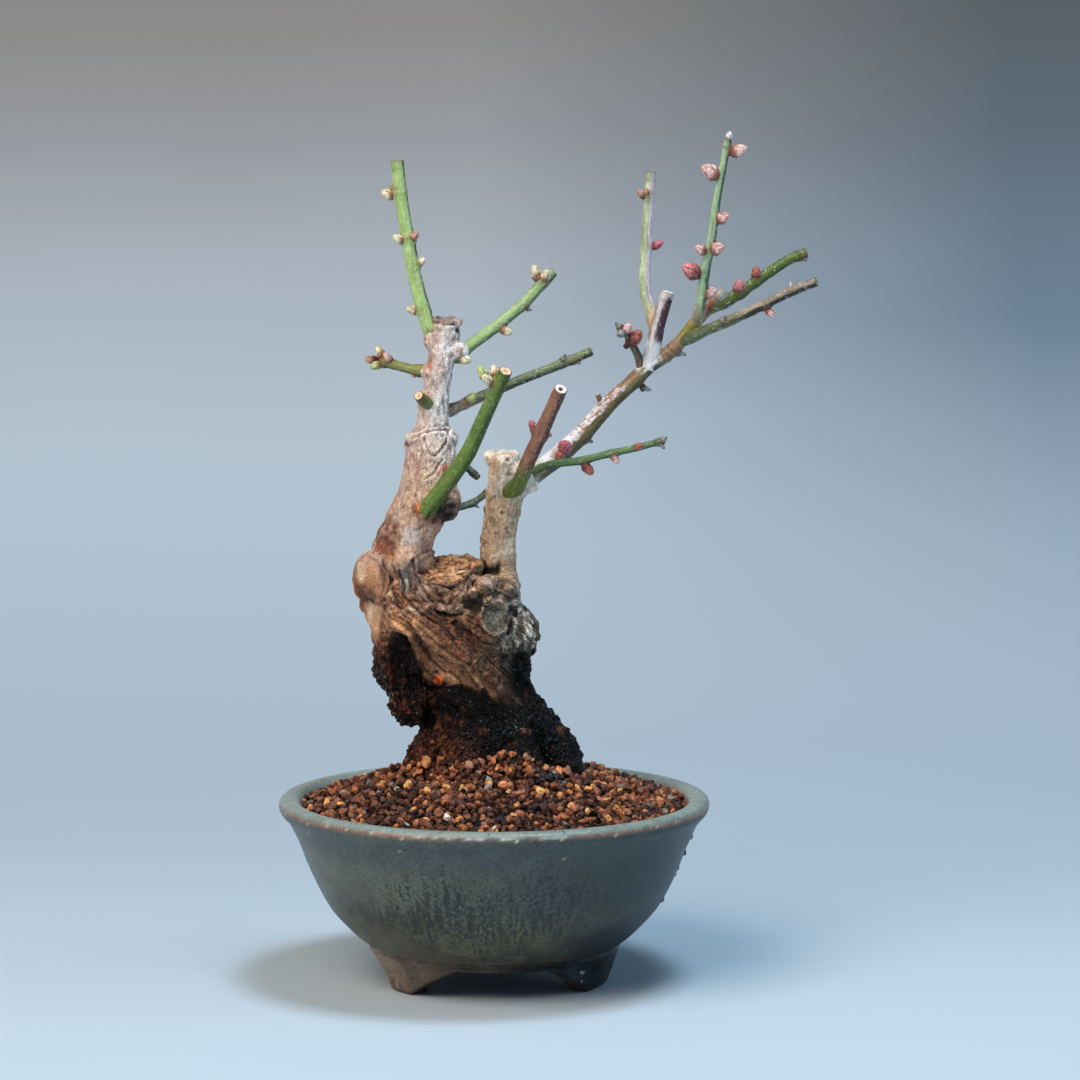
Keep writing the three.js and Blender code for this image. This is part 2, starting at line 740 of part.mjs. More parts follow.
// All solids, each clear of its neighbours: a parent loses the room that its children's roots need.
function buildSolids() {
  const solids = new Map();
  solids.set("pot", potSolid());
  solids.set("drain_mesh", drainMeshSolid());
  solids.set("soil", soilSolid(oldWood(CLEARANCE)));
  solids.set("trunk", oldWood(0));
  STEMS.forEach((stem) => solids.set(stem.name, stemSolid(stem, 0)));
  STEMS.forEach((stem) => {
    const room = stemSolid(stem, CLEARANCE);
    const parent = solids.get(stem.parent);
    solids.set(stem.parent, parent.subtract(room));
    if (stem.parent !== "trunk") solids.set("trunk", solids.get("trunk").subtract(room));
  });
  return solids;
}

const LOOKS = {
  pot: { color: 0x56635d, roughness: 0.35 },
  drain_mesh: { color: 0x2c2f2c, roughness: 0.6 },
  soil: { color: 0x6e4029, roughness: 0.95 },
  trunk: { color: 0x74604e, roughness: 0.9 },
};

function meshFrom(name, solid) {
  const raw = mainBody(solid).getMesh();
  const places = new Float32Array(raw.numVert * 3);
  for (let i = 0; i < raw.numVert; i++) {
    for (let axis = 0; axis < 3; axis++) places[3 * i + axis] = raw.vertProperties[i * raw.numProp + axis];
  }
  const geometry = new THREE.BufferGeometry();
  geometry.setAttribute("position", new THREE.BufferAttribute(places, 3));
  geometry.setIndex(new THREE.BufferAttribute(raw.triVerts, 1));
  geometry.computeVertexNormals();
  const stem = STEMS.find((item) => item.name === name);
  const look = stem ? { color: stem.color, roughness: 0.7 } : LOOKS[name];
  const mesh = new THREE.Mesh(geometry, new THREE.MeshStandardMaterial({ ...look, metalness: 0 }));
  mesh.name = name;
  return mesh;
}

const bonsai = new THREE.Group();
for (const [name, solid] of buildSolids()) bonsai.add(meshFrom(name, solid));
const box = new THREE.Box3().setFromObject(bonsai);
const middle = box.getCenter(new THREE.Vector3());
bonsai.position.set(-middle.x, -middle.y, -box.min.z);

export default bonsai;
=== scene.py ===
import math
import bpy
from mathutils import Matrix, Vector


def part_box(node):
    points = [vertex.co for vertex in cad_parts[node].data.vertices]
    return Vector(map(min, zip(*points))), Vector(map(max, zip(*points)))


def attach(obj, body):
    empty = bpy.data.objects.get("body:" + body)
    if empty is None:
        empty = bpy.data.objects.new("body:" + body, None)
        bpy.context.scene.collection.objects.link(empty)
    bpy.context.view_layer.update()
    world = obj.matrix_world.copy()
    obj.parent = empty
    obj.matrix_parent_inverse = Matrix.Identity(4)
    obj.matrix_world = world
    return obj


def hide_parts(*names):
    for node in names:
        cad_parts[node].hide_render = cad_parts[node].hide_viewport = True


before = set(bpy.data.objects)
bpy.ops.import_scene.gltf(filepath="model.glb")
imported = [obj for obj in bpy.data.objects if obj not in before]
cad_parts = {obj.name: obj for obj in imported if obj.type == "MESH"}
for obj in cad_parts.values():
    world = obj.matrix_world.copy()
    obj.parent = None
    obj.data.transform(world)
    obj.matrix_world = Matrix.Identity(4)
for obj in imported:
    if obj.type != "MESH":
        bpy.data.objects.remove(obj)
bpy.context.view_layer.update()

# The looks of a japanese apricot bonsai: a glazed pot on bracket feet, grains of clay soil, an old
# twisted trunk and its winter shoots with their buds. Shapes are laid out in millimetres round the pot's
# axis with the ground at zero, as in the solids, and are brought to the frame's metres when a piece is
# made.
from types import SimpleNamespace

import bmesh
import bpy
import numpy as np
from mathutils import Vector
from mathutils.bvhtree import BVHTree

MM = 0.001

# The frame gives the pot's axis and its size.
POT_LOW, POT_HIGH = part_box("pot")
POT_AXIS = np.array([(POT_LOW.x + POT_HIGH.x) / 2, (POT_LOW.y + POT_HIGH.y) / 2, 0.0])
RIM_RADIUS = (POT_HIGH.x - POT_LOW.x) / 2 / MM

# Camera: what it aims at, how far it stands and how steeply it looks down.
CAMERA_TARGET = (13.9, 0.0, 134.6)
CAMERA_DISTANCE = 1155.0
CAMERA_PITCH = 6.0
LENS = 85.0
SENSOR = 24.0
PHOTO_SIZE = 1080
TILT = math.radians(CAMERA_PITCH)
FOCAL = PHOTO_SIZE * LENS / SENSOR

# Pot
# Feet: middle angle in degrees, then the left and the right flank, each with its half angle at the
# ground, its half angle at the ring, and whether it flares evenly.
FEET = (
    (-51.65, (10.5, 27, False), (5, 36, True)),
    (68.35, (13, 44, True), (12, 27, False)),
    (188.35, (10, 36, True), (10, 36, True)),
)
FLARE_POWER = 1.15
FOOT_HEIGHT = 10.0
FOOT_OUTER_BOTTOM = 34.5
FOOT_OUTER_TOP = 38.0
FOOT_INNER = 27.5
FOOT_INNER_SLOPE = 0.25
RING_BOTTOM = 9.6
POT_STEP = 0.9
# Rows below the wall: six of the floor, nine inside the foot ring, six under it and twelve outside it.
FOOT_ROWS = 33
DRAIN_RADIUS = 6.0
FLOOR_UNDER = 11.0
FLOOR_TOP = 15.0

# Soil
SOIL_TOP = 64.5
SOIL_EDGE = 53.5
SOIL_LEVEL_RADIUS = 22.0
SOIL_EDGE_RADIUS = 66.0
SOIL_WALL_RADIUS = 58.4
GRAIN_GAP = 2.2

# Old trunk
BODY_ROWS = 90
BODY_SIDES = 96
TRUNK_VOXEL = 0.535
SKIN_SMOOTHING = 12
SKIN_SWELL = 0.12
BOWL_MIDDLE = (446, 566)
BOWL_HALF = (38, 46)
CRACK_DEPTH = 2.6
FOLD_DEPTH = 1.2
# Squeezes heights, so that noise runs upright.
UPRIGHT = (1, 1, 0.3)
RIDGE_TWIST = 0.042


def mix(a, b, share):
    return a + (b - a) * share


def smooth_step(low, high, value):
    share = np.clip((value - low) / (high - low), 0, 1)
    return share * share * (3 - 2 * share)


def bell(value, middle, width):
    """One at the middle, falling off evenly on both sides."""
    return np.exp(-(((value - middle) / width) ** 2))


def band(value, low, full, ending, past):
    """One from full to ending, and zero below low and past the end."""
    return smooth_step(low, full, value) * (1 - smooth_step(ending, past, value))


def unit(vectors):
    return vectors / np.maximum(np.linalg.norm(vectors, axis=-1, keepdims=True), 1e-9)


def tone(red, green, blue):
    """A colour given as it looks, from 0 to 255, as linear light."""
    share = np.array([red, green, blue]) / 255
    return np.where(share <= 0.04045, share / 12.92, ((share + 0.055) / 1.055) ** 2.4)


# Noise

def lattice(cell, seed):
    cell = cell.astype(np.int64).astype(np.uint32)
    mixed = cell[..., 0] * np.uint32(374761393) + cell[..., 1] * np.uint32(668265263)
    mixed = mixed + cell[..., 2] * np.uint32(2246822519) + np.uint32(seed * 7919 + 17)
    mixed = (mixed ^ (mixed >> np.uint32(13))) * np.uint32(1274126177)
    mixed = (mixed ^ (mixed >> np.uint32(15))) * np.uint32(2654435761)
    return ((mixed ^ (mixed >> np.uint32(16))) & np.uint32(0xFFFF)) / 65535.0


def noise(points, size, seed):
    """Smooth noise from -1 to 1 whose lumps are about size across."""
    place = points / size
    base = np.floor(place)
    part = place - base
    part = part * part * (3 - 2 * part)
    total = np.zeros(points.shape[:-1])
    for corner in np.ndindex(2, 2, 2):
        weight = np.ones_like(total)
        for axis in range(3):
            weight = weight * (part[..., axis] if corner[axis] else 1 - part[..., axis])
        total += weight * lattice(base + np.array(corner), seed)
    return 2 * total - 1


def layered_noise(points, size, seed, layers=3):
    total = 0
    for layer in range(layers):
        total = total + noise(points, size / 2**layer, seed + layer) / 2**layer
    return total / (2 - 2.0 ** (1 - layers))


def cells(points, size, seed):
    """Distance to the nearest of scattered points, in cells, and that point's own random share."""
    place = points / size
    base = np.floor(place)
    nearest = np.full(points.shape[:-1], 9.0)
    share = np.zeros(points.shape[:-1])
    for step in np.ndindex(3, 3, 3):
        cell = base + np.array(step) - 1
        spot = cell + np.stack([lattice(cell, seed + axis) for axis in range(3)], axis=-1)
        distance = np.linalg.norm(place - spot, axis=-1)
        closer = distance < nearest
        nearest = np.where(closer, distance, nearest)
        share = np.where(closer, lattice(cell, seed + 3), share)
    return nearest, share


# What the camera sees: the pixel of the photograph that a point falls on.

def seen(points):
    across = points[..., 0] - CAMERA_TARGET[0]
    depth = points[..., 1] - CAMERA_TARGET[1]
    rise = points[..., 2] - CAMERA_TARGET[2]
    away = CAMERA_DISTANCE + depth * math.cos(TILT) - rise * math.sin(TILT)
    u = PHOTO_SIZE / 2 + FOCAL * across / away
    v = PHOTO_SIZE / 2 - FOCAL * (depth * math.sin(TILT) + rise * math.cos(TILT)) / away
    return u, v


def from_path(u, v, path):
    """Distance in pixels from a path of pixels, and the share of the path that is nearest."""
    best = np.full(u.shape, 1e9)
    share = np.zeros(u.shape)
    count = len(path) - 1
    for i in range(count):
        (u0, v0), (u1, v1) = path[i], path[i + 1]
        du, dv = u1 - u0, v1 - v0
        along = np.clip(((u - u0) * du + (v - v0) * dv) / (du * du + dv * dv), 0, 1)
        distance = np.hypot(u - u0 - along * du, v - v0 - along * dv)
        closer = distance < best
        best = np.where(closer, distance, best)
        share = np.where(closer, (i + along) / count, share)
    return best, share


def oval_reach(u, v, middle, half):
    """Distance from an oval's middle, one on its edge."""
    return np.hypot((u - middle[0]) / half[0], (v - middle[1]) / half[1])


def from_wavy_path(points, u, v, path, sway, size, seed):
    """Distance in pixels from a path that noise sways a little."""
    u = u + sway * noise(points, size, seed)
    v = v + sway * noise(points, size, seed + 1)
    return from_path(u, v, path)[0]


def spot(u, v, middle, half, edge=0.35):
    """A soft oval mask with its middle and half sizes in pixels."""
    return 1 - smooth_step(1 - edge, 1 + edge, oval_reach(u, v, middle, half))


# Curves and tubes

def curve_through(path, spacing):
    """Evenly spaced points on a centripetal Catmull-Rom curve."""
    given = np.array(path, float)
    ends = np.vstack([2 * given[0] - given[1], given, 2 * given[-1] - given[-2]])
    fine = []
    for i in range(1, len(ends) - 2):
        p0, p1, p2, p3 = ends[i - 1 : i + 3]
        gaps = [np.linalg.norm(b - a) ** 0.5 for a, b in ((p0, p1), (p1, p2), (p2, p3))]
        knots = np.cumsum([0, *gaps])
        t = np.linspace(knots[1], knots[2], 24, endpoint=False)[:, None]
        t0, t1, t2, t3 = knots
        a1 = (t1 - t) / (t1 - t0) * p0 + (t - t0) / (t1 - t0) * p1
        a2 = (t2 - t) / (t2 - t1) * p1 + (t - t1) / (t2 - t1) * p2
        a3 = (t3 - t) / (t3 - t2) * p2 + (t - t2) / (t3 - t2) * p3
        b1 = (t2 - t) / (t2 - t0) * a1 + (t - t0) / (t2 - t0) * a2
        b2 = (t3 - t) / (t3 - t1) * a2 + (t - t1) / (t3 - t1) * a3
        fine.append((t2 - t) / (t2 - t1) * b1 + (t - t1) / (t2 - t1) * b2)
    fine = np.vstack([*fine, given[-1:]])
    lengths = np.concatenate([[0], np.cumsum(np.linalg.norm(np.diff(fine, axis=0), axis=1))])
    count = max(4, int(round(lengths[-1] / spacing)) + 1)
    even = np.linspace(0, lengths[-1], count)
    return np.stack([np.interp(even, lengths, fine[:, axis]) for axis in range(3)], axis=1), lengths[-1]


def frames_along(points):
    """Tangent and two side directions at each point, turning as little as they can."""
    tangents = unit(np.gradient(points, axis=0))
    side = np.cross(tangents[0], (0.0, 1.0, 0.0))
    if np.linalg.norm(side) < 0.1:
        side = np.cross(tangents[0], (1.0, 0.0, 0.0))
    sides = [unit(side)]
    for tangent in tangents[1:]:
        side = sides[-1] - tangent * np.dot(sides[-1], tangent)
        sides.append(unit(side))
    sides = np.array(sides)
    return tangents, sides, np.cross(tangents, sides)


def grid_faces(rows, columns):
    """Quads of a grid that closes on itself round its columns."""
    row = np.arange(rows - 1)[:, None] * columns
    column = np.arange(columns)[None, :]
    after = (column + 1) % columns
    next_row = row + columns
    corners = [row + column, row + after, next_row + after, next_row + column]
    return np.stack(corners, axis=-1).reshape(-1, 4)


def fan_faces(first, columns, tip, flip):
    column = np.arange(columns)
    ring = np.stack([first + column, first + (column + 1) % columns], axis=1)
    if flip:
        ring = ring[:, ::-1]
    return np.column_stack([ring, np.full(columns, tip)])


def end_fans(rows, columns, count):
    """Caps of a closed grid: fans from its first and last row to the two points that come last."""
    last_row = (rows - 1) * columns
    first = fan_faces(0, columns, count - 2, True)
    last = fan_faces(last_row, columns, count - 1, False)
    return np.vstack([first, last])


def add_vector(mesh, name, values):
    attribute = mesh.attributes.new(name, "FLOAT_VECTOR", "POINT")
    attribute.data.foreach_set("vector", values.astype(np.float32).ravel())


def add_value(mesh, name, values):
    attribute = mesh.attributes.new(name, "FLOAT", "POINT")
    attribute.data.foreach_set("value", values.astype(np.float32))


class Shape:
    """Points, faces, paint and growth of a piece that is being put together."""

    def __init__(self):
        self.points = []
        self.quads = []
        self.triangles = []
        self.paint = []
        self.growth = []
        self.count = 0

    def add(self, points, quads=None, triangles=None, paint=None, growth=None):
        """Growth holds each point's place in its stem and how strongly the stem's bark shows there."""
        if quads is not None:
            self.quads.append(quads + self.count)
        if triangles is not None:
            self.triangles.append(triangles + self.count)
        if paint is None:
            paint = np.ones((len(points), 4))
        if growth is None:
            growth = np.zeros((len(points), 5))
        self.points.append(points)
        self.paint.append(paint)
        self.growth.append(growth)
        self.count += len(points)

    def mesh(self, name, grown=False):
        points = np.vstack(self.points) * MM + POT_AXIS
        faces = [face for part in (*self.quads, *self.triangles) for face in part.tolist()]
        mesh = bpy.data.meshes.new(name)
        mesh.from_pydata(points.tolist(), [], faces)
        mesh.update()
        paint = mesh.attributes.new("paint", "FLOAT_COLOR", "POINT")
        paint.data.foreach_set("color", np.vstack(self.paint).astype(np.float32).ravel())
        if grown:
            growth = np.vstack(self.growth)
            add_vector(mesh, "grow", growth[:, :3])
            add_value(mesh, "streak", growth[:, 3])
            add_value(mesh, "pores", growth[:, 4])
        return mesh


def make_piece(name, mesh, material, nodes):
    """A finished piece that rides on the root body and stands for its solids."""
    mesh.polygons.foreach_set("use_smooth", np.ones(len(mesh.polygons), bool))
    mesh.materials.clear()
    mesh.materials.append(material)
    piece = bpy.data.objects.new(name, mesh)
    bpy.context.scene.collection.objects.link(piece)
    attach(piece, "root")
    if nodes:
        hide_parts(*nodes)
    return piece


def colored(colors, rough):
    """Paint from colours and roughness, which lies in the fourth channel."""
    rough = np.broadcast_to(rough, colors.shape[:-1])
    return np.concatenate([colors, rough[..., None]], axis=-1)


def lay(under, color, mask):
    """Colour laid over colour where the mask is one."""
    return under + (color - under) * np.clip(mask, 0, 1)[..., None]


def layered(color, *layers):
    """Tones laid over a colour one after the other, each where its own mask is one."""
    for shade, mask in layers:
        color = lay(color, tone(*shade), mask)
    return color


def even_paint(points, shade, rough):
    """The same paint for every point of a small part."""
    return colored(np.tile(tone(*shade), (len(points), 1)), rough)


# Materials

class Surface:
    """A material in the making. Its calls add nodes and give back the sockets that carry their results."""

    def __init__(self, name):
        self.material = bpy.data.materials.new(name)
        self.material.use_nodes = True
        self.tree = self.material.node_tree
        self.shader = self.tree.nodes["Principled BSDF"]
        self.place = self.add("TexCoord").outputs["Object"]

    def add(self, kind, inputs=None, **settings):
        made = self.tree.nodes.new("ShaderNode" + kind)
        for name, value in settings.items():
            setattr(made, name, value)
        for key, value in (inputs or {}).items():
            self.feed(made.inputs[key], value)
        return made

    def feed(self, socket, value):
        """Links the socket to a result, or sets its constant."""
        if isinstance(value, bpy.types.NodeSocket):
            self.tree.links.new(value, socket)
        else:
            socket.default_value = value

    def set(self, name, value):
        self.feed(self.shader.inputs[name], value)

    def layer(self, name, output="Fac"):
        return self.add("Attribute", attribute_name=name).outputs[output]

    def paint(self):
        return self.add("Attribute", attribute_name="paint").outputs

    def noise(self, vector, scale, detail, output="Fac", **more):
        inputs = {"Vector": vector, "Scale": scale, "Detail": detail}
        inputs.update({key.title(): value for key, value in more.items()})
        return self.add("TexNoise", inputs).outputs[output]

    def cells(self, vector, scale, **settings):
        return self.add("TexVoronoi", {"Vector": vector, "Scale": scale}, **settings).outputs

    def stretched(self, vector, scale):
        return self.add("Mapping", {"Vector": vector, "Scale": scale}).outputs["Vector"]

    def math(self, operation, first, second, clamp=False):
        return self.add("Math", {0: first, 1: second}, operation=operation, use_clamp=clamp).outputs[0]

    def product(self, first, *others, clamp=False):
        for other in others:
            first = self.math("MULTIPLY", first, other, clamp)
        return first

    def total(self, first, *others, clamp=False):
        for other in others:
            first = self.math("ADD", first, other, clamp)
        return first

    def ranged(self, value, low, high, to_low, to_high):
        inputs = {"Value": value, "From Min": low, "From Max": high, "To Min": to_low, "To Max": to_high}
        return self.add("MapRange", inputs).outputs["Result"]

    def vector_math(self, operation, inputs):
        return self.add("VectorMath", inputs, operation=operation).outputs["Vector"]

    def tinted(self, color, light):
        return self.vector_math("MULTIPLY", {0: color, 1: light})

    def from_one(self, factor, value):
        """One where the factor is zero, and the value where the factor is one."""
        return self.add("Mix", {0: factor, 2: 1.0, 3: value}, data_type="FLOAT").outputs[0]

    def mixed(self, factor, color, other, **settings):
        """Two colours, which go into the mix node's sockets 6 and 7, and its colour result 2."""
        return self.add("Mix", {0: factor, 6: color, 7: other}, data_type="RGBA", **settings).outputs[2]

    def worn(self, paint, texture, low, high):
        """The paint's own roughness, which lies in its fourth channel, made uneven by a texture."""
        return self.total(paint["Alpha"], self.ranged(texture, 0.3, 0.7, low, high), clamp=True)

    def dressed(self, color, rough, relief, depth, strength):
        """The finished material, with a relief whose depth is in metres."""
        self.set("Base Color", color)
        self.set("Roughness", rough)
        bump = self.add("Bump", {"Height": relief, "Distance": depth, "Strength": strength})
        self.set("Normal", bump.outputs["Normal"])
        return self.material


SOIL_TEXTURE = 0.55 * MM
SOIL_CONTRAST = 0.55


def soil_material():
    """Clay grains: their own paint, broken up by noise, with pits in relief."""
    surface = Surface("soil_grains")
    paint = surface.paint()
    fine = surface.noise(surface.place, 1 / SOIL_TEXTURE, 6.0, roughness=0.65)
    broad = surface.noise(surface.place, 0.22 / SOIL_TEXTURE, 3.0)
    pits = surface.cells(surface.place, 0.8 / SOIL_TEXTURE)["Distance"]
    shade = surface.ranged(fine, 0.3, 0.7, 1 - SOIL_CONTRAST, 1 + SOIL_CONTRAST)
    drift = surface.ranged(broad, 0.3, 0.7, 1 - 0.5 * SOIL_CONTRAST, 1 + 0.5 * SOIL_CONTRAST)
    color = surface.tinted(paint["Color"], surface.product(shade, drift))
    surface.set("Specular IOR Level", 0.5)
    rough = surface.worn(paint, fine, -0.12, 0.12)
    return surface.dressed(color, rough, surface.total(fine, pits), 0.3 * MM, 0.8)


def glaze_material():
    """Glossy glaze that ran down the pot: paint, mottling, dark runs and blotches, and a slight relief."""
    surface = Surface("pot_glaze")
    paint = surface.paint()
    thick = surface.layer("runs")
    along = surface.layer("along", "Vector")
    upright = surface.stretched(along, (0.62, 0.12, 1.0))
    runs = surface.noise(upright, 1.0, 7.0, roughness=0.72, distortion=0.25)
    broken = surface.noise(along, 0.75, 4.0, roughness=0.7)
    specks = surface.noise(surface.place, 2300.0, 2.0)
    mottle = surface.noise(surface.place, 1100.0, 5.0, roughness=0.75)
    clouds = surface.noise(surface.place, 130.0, 5.0, roughness=0.6)
    start = surface.ranged(thick, 0.0, 1.0, 1.2, 0.94)
    over = surface.math("SUBTRACT", surface.total(runs, broken), start)
    dark = surface.ranged(over, 0.0, 0.07, 0.0, 0.86)
    tint = surface.ranged(clouds, 0.3, 0.7, 0.76, 1.24)
    blotch = surface.ranged(mottle, 0.32, 0.68, 0.52, 1.46)
    grain = surface.ranged(specks, 0.35, 0.7, 0.78, 1.3)
    # The lip, where the runs are below zero, is smooth and even.
    even = surface.ranged(thick, -1.0, -0.1, 0.3, 1.0)
    base = surface.tinted(paint["Color"], surface.from_one(even, surface.product(tint, blotch, grain)))
    color = surface.mixed(dark, base, (0.006, 0.01, 0.012, 1))
    surface.set("Specular IOR Level", surface.ranged(paint["Alpha"], 0.18, 0.26, 0.08, 0.5))
    rough = surface.worn(paint, mottle, -0.1, 0.14)
    return surface.dressed(color, rough, surface.total(mottle, specks), 0.0002, even)


def net_material():
    """Dark moulded plastic with a faint grain."""
    surface = Surface("drain_net")
    grain = surface.noise(surface.place, 900.0, 3.0)
    ramp = surface.add("ValToRGB", {"Fac": grain})
    ramp.color_ramp.elements[0].color = (0.012, 0.016, 0.013, 1)
    ramp.color_ramp.elements[1].color = (0.035, 0.042, 0.036, 1)
    rough = surface.ranged(grain, 0.3, 0.7, 0.5, 0.7)
    return surface.dressed(ramp.outputs["Color"], rough, grain, 0.0001, 0.5)


def bark_material():
    """Old bark: its own paint, torn along its flow by dark cracks, with grit and worn edges in relief."""
    surface = Surface("old_bark")
    place = surface.place
    paint = surface.paint()
    flow = surface.layer("flow", "Vector")
    crackle = surface.layer("crackle")
    grainy = surface.layer("grainy")
    streaks = surface.noise(flow, 1.5, 6.0, roughness=0.72, distortion=0.5)
    plates = surface.cells(flow, 0.62, feature="DISTANCE_TO_EDGE")["Distance"]
    grit = surface.noise(place, 2600.0, 3.0, roughness=0.7)
    pits = surface.cells(place, 1500.0)["Distance"]
    bent = surface.noise(place, 700.0, 3.0, "Color")
    shift = surface.vector_math("SCALE", {0: bent, "Scale": 0.0016})
    moved = surface.vector_math("ADD", {0: place, 1: shift})
    flakes = surface.add("SeparateColor", {"Color": surface.cells(moved, 760.0)["Color"]}).outputs["Red"]
    flake_light = surface.from_one(crackle, surface.ranged(flakes, 0.0, 1.0, 0.62, 1.42))
    edges = surface.from_one(crackle, surface.ranged(plates, 0.0, 0.09, 0.35, 1.0))
    light = surface.ranged(streaks, 0.3, 0.7, 0.6, 1.45)
    dust = surface.ranged(grit, 0.3, 0.7, 0.72, 1.3)
    color = surface.tinted(paint["Color"], surface.product(light, flake_light, edges, dust))
    # Granules on the wet wood: each has its own tone, and a few carry painted pale blue glints.
    granules = surface.cells(moved, 1050.0)
    own = surface.add("SeparateColor", {"Color": granules["Color"]}).outputs
    color = surface.tinted(color, surface.from_one(grainy, surface.ranged(own["Red"], 0.0, 1.0, 0.35, 1.9)))
    painted_glint = surface.ranged(own["Green"], 0.9, 0.92, 0.0, 1.0)
    dome = surface.ranged(granules["Distance"], 0.1, 0.4, 1.0, 0.0)
    color = surface.mixed(surface.product(painted_glint, grainy, dome), color, (0.26, 0.33, 0.4, 1))
    surface.set("Specular IOR Level", surface.ranged(grainy, 0.0, 1.0, 0.5, 0.26))
    raised = surface.product(surface.ranged(granules["Distance"], 0.0, 0.6, 4.5, 0.0), grainy)
    relief = surface.total(streaks, edges, raised, pits, grit, flake_light)
    return surface.dressed(color, surface.worn(paint, grit, -0.15, 0.15), relief, 0.0004, 0.9)


def stem_material():
    """Young bark: its paint with fine lengthwise streaks, pale pores and a slight relief."""
    surface = Surface("stem_bark")
    paint = surface.paint()
    grow = surface.layer("grow", "Vector")
    streaks = surface.noise(surface.stretched(grow, (1.9, 1.9, 0.2)), 1.0, 5.0, roughness=0.68)
    pores = surface.cells(surface.stretched(grow, (1.15, 1.15, 0.55)), 1.0)["Distance"]
    gaps = surface.noise(grow, 0.5, 2.0)
    fine = surface.noise(surface.place, 2400.0, 4.0, roughness=0.7)
    high = surface.product(surface.math("SUBTRACT", streaks, 0.5), surface.layer("streak"))
    light = surface.ranged(high, -0.1, 0.1, 0.45, 1.55)
    dust = surface.ranged(fine, 0.3, 0.7, 0.82, 1.18)
    base = surface.tinted(paint["Color"], surface.product(light, dust))
    dots = surface.product(surface.ranged(pores, 0.14, 0.34, 0.8, 0.0), surface.layer("pores"))
    dots = surface.product(dots, surface.ranged(gaps, 0.36, 0.5, 0.0, 1.0), clamp=True)
    color = surface.mixed(dots, base, (0.68, 0.7, 0.6, 1))
    surface.set("Specular IOR Level", 0.5)
    relief = surface.total(high, fine, dots)
    return surface.dressed(color, surface.worn(paint, fine, -0.12, 0.12), relief, 0.00012, 0.8)


def sweep_material():
    """Pale paper that is lit as a floor near the pot and glows softly as a backdrop, darker to its top."""
    surface = Surface("sweep_paper")
    parts = surface.add("SeparateXYZ", {"Vector": surface.place}).outputs
    grain = surface.noise(surface.place, 5.0, 2.0)
    lift = surface.total(parts["Z"], surface.ranged(grain, 0.3, 0.7, -0.006, 0.006))
    ramp = surface.add("ValToRGB", {"Fac": surface.ranged(lift, 0.0, 0.6, 0.0, 1.0)})
    stops = ramp.color_ramp.elements
    stops[0].color = (*tone(*BACKDROP_BOTTOM), 1)
    stops[1].color = (*tone(*BACKDROP_TOP), 1)
    for share, shade in BACKDROP_TONES:
        stops.new(share).color = (*tone(*shade), 1)
    to_the_right = surface.ranged(parts["X"], -0.04, 0.26, 0.0, 1.0)
    aside = surface.product(to_the_right, surface.ranged(parts["Z"], 0.0, 0.16, 0.22, 1.0))
    shade = (0.36, 0.46, 0.54, 1)
    surface.set("Emission Color", surface.mixed(aside, ramp.outputs["Color"], shade, blend_type="MULTIPLY"))
    surface.set("Emission Strength", surface.ranged(parts["Y"], 0.2, 0.8, 0.0, 1.0))
    near = surface.ranged(parts["Y"], 0.2, 0.8, 1.0, 0.0)
    # Painted shade: the floor's colour darkens behind the pot.
    shade_behind_pot = surface.ranged(parts["Y"], -0.05, 0.2, 1.0, 0.88)
    surface.set("Base Color", surface.tinted(FLOOR_TONE, surface.product(near, shade_behind_pot)))
    surface.set("Roughness", 0.8)
    surface.set("Specular IOR Level", 0.2)
    return surface.material


# Pot

# Outer face from the foot ring to the lip, and inner face from the lip to the floor, as radius and
# height.
POT_OUTER = ((38.2, 11.6), (38.6, 12.3), (39.5, 12.9), (41.2, 14.1), (45.6, 18.3), (50.1, 23.4),
             (54.4, 31.3), (59.3, 43.2), (62.4, 49.6), (63.3, 50.7), (64.4, 51.8), (65.1, 53.0),
             (65.4, 54.4), (65.1, 55.6), (64.4, 56.2))
POT_INNER = ((63.0, 56.48), (60.8, 56.4), (59.5, 55.8), (58.5, 54.3), (53.9, 43.2), (47.6, 28), (39, 17.5),
             (33, FLOOR_TOP), (DRAIN_RADIUS + 0.6, FLOOR_TOP))

# Glaze nodules on the outer face: turn from the front in degrees, height and half size.
NODULES = ((91, 43.9, 0.75), (89, 39.2, 0.8), (92, 34.0, 0.85), (90, 32.2, 0.6), (88, 25.0, 0.8),
           (91, 17.0, 0.6), (-91, 50.2, 0.5), (-89, 37.0, 0.6), (-90, 34.2, 0.5), (151, 35.0, 0.7),
           (171, 28.0, 0.6), (-140, 40.0, 0.7), (-158, 24.0, 0.6))
NODULE_TONE = (38, 44, 42)

# Glints on the dark foot: middle and half size in pixels of the photograph.
FOOT_GLINTS = (((582, 973), (2.0, 0.9)), ((582, 981), (1.2, 0.8)))


def foot_bottom(turn):
    """Height of the lower edge at each angle: the ground at a foot, and the foot ring between feet."""
    low = np.full(turn.shape, RING_BOTTOM)
    for middle, left, right in FEET:
        away = (turn - middle + 180) % 360 - 180
        for side, (bottom, top, flared) in ((-1, left), (1, right)):
            share = np.clip((away * side - bottom) / (top - bottom), 0, 1)
            rise = share ** (1 / FLARE_POWER) if flared else np.sqrt(share * (2 - share))
            low = np.where(away * side >= 0, np.minimum(low, FOOT_HEIGHT * rise), low)
    return low


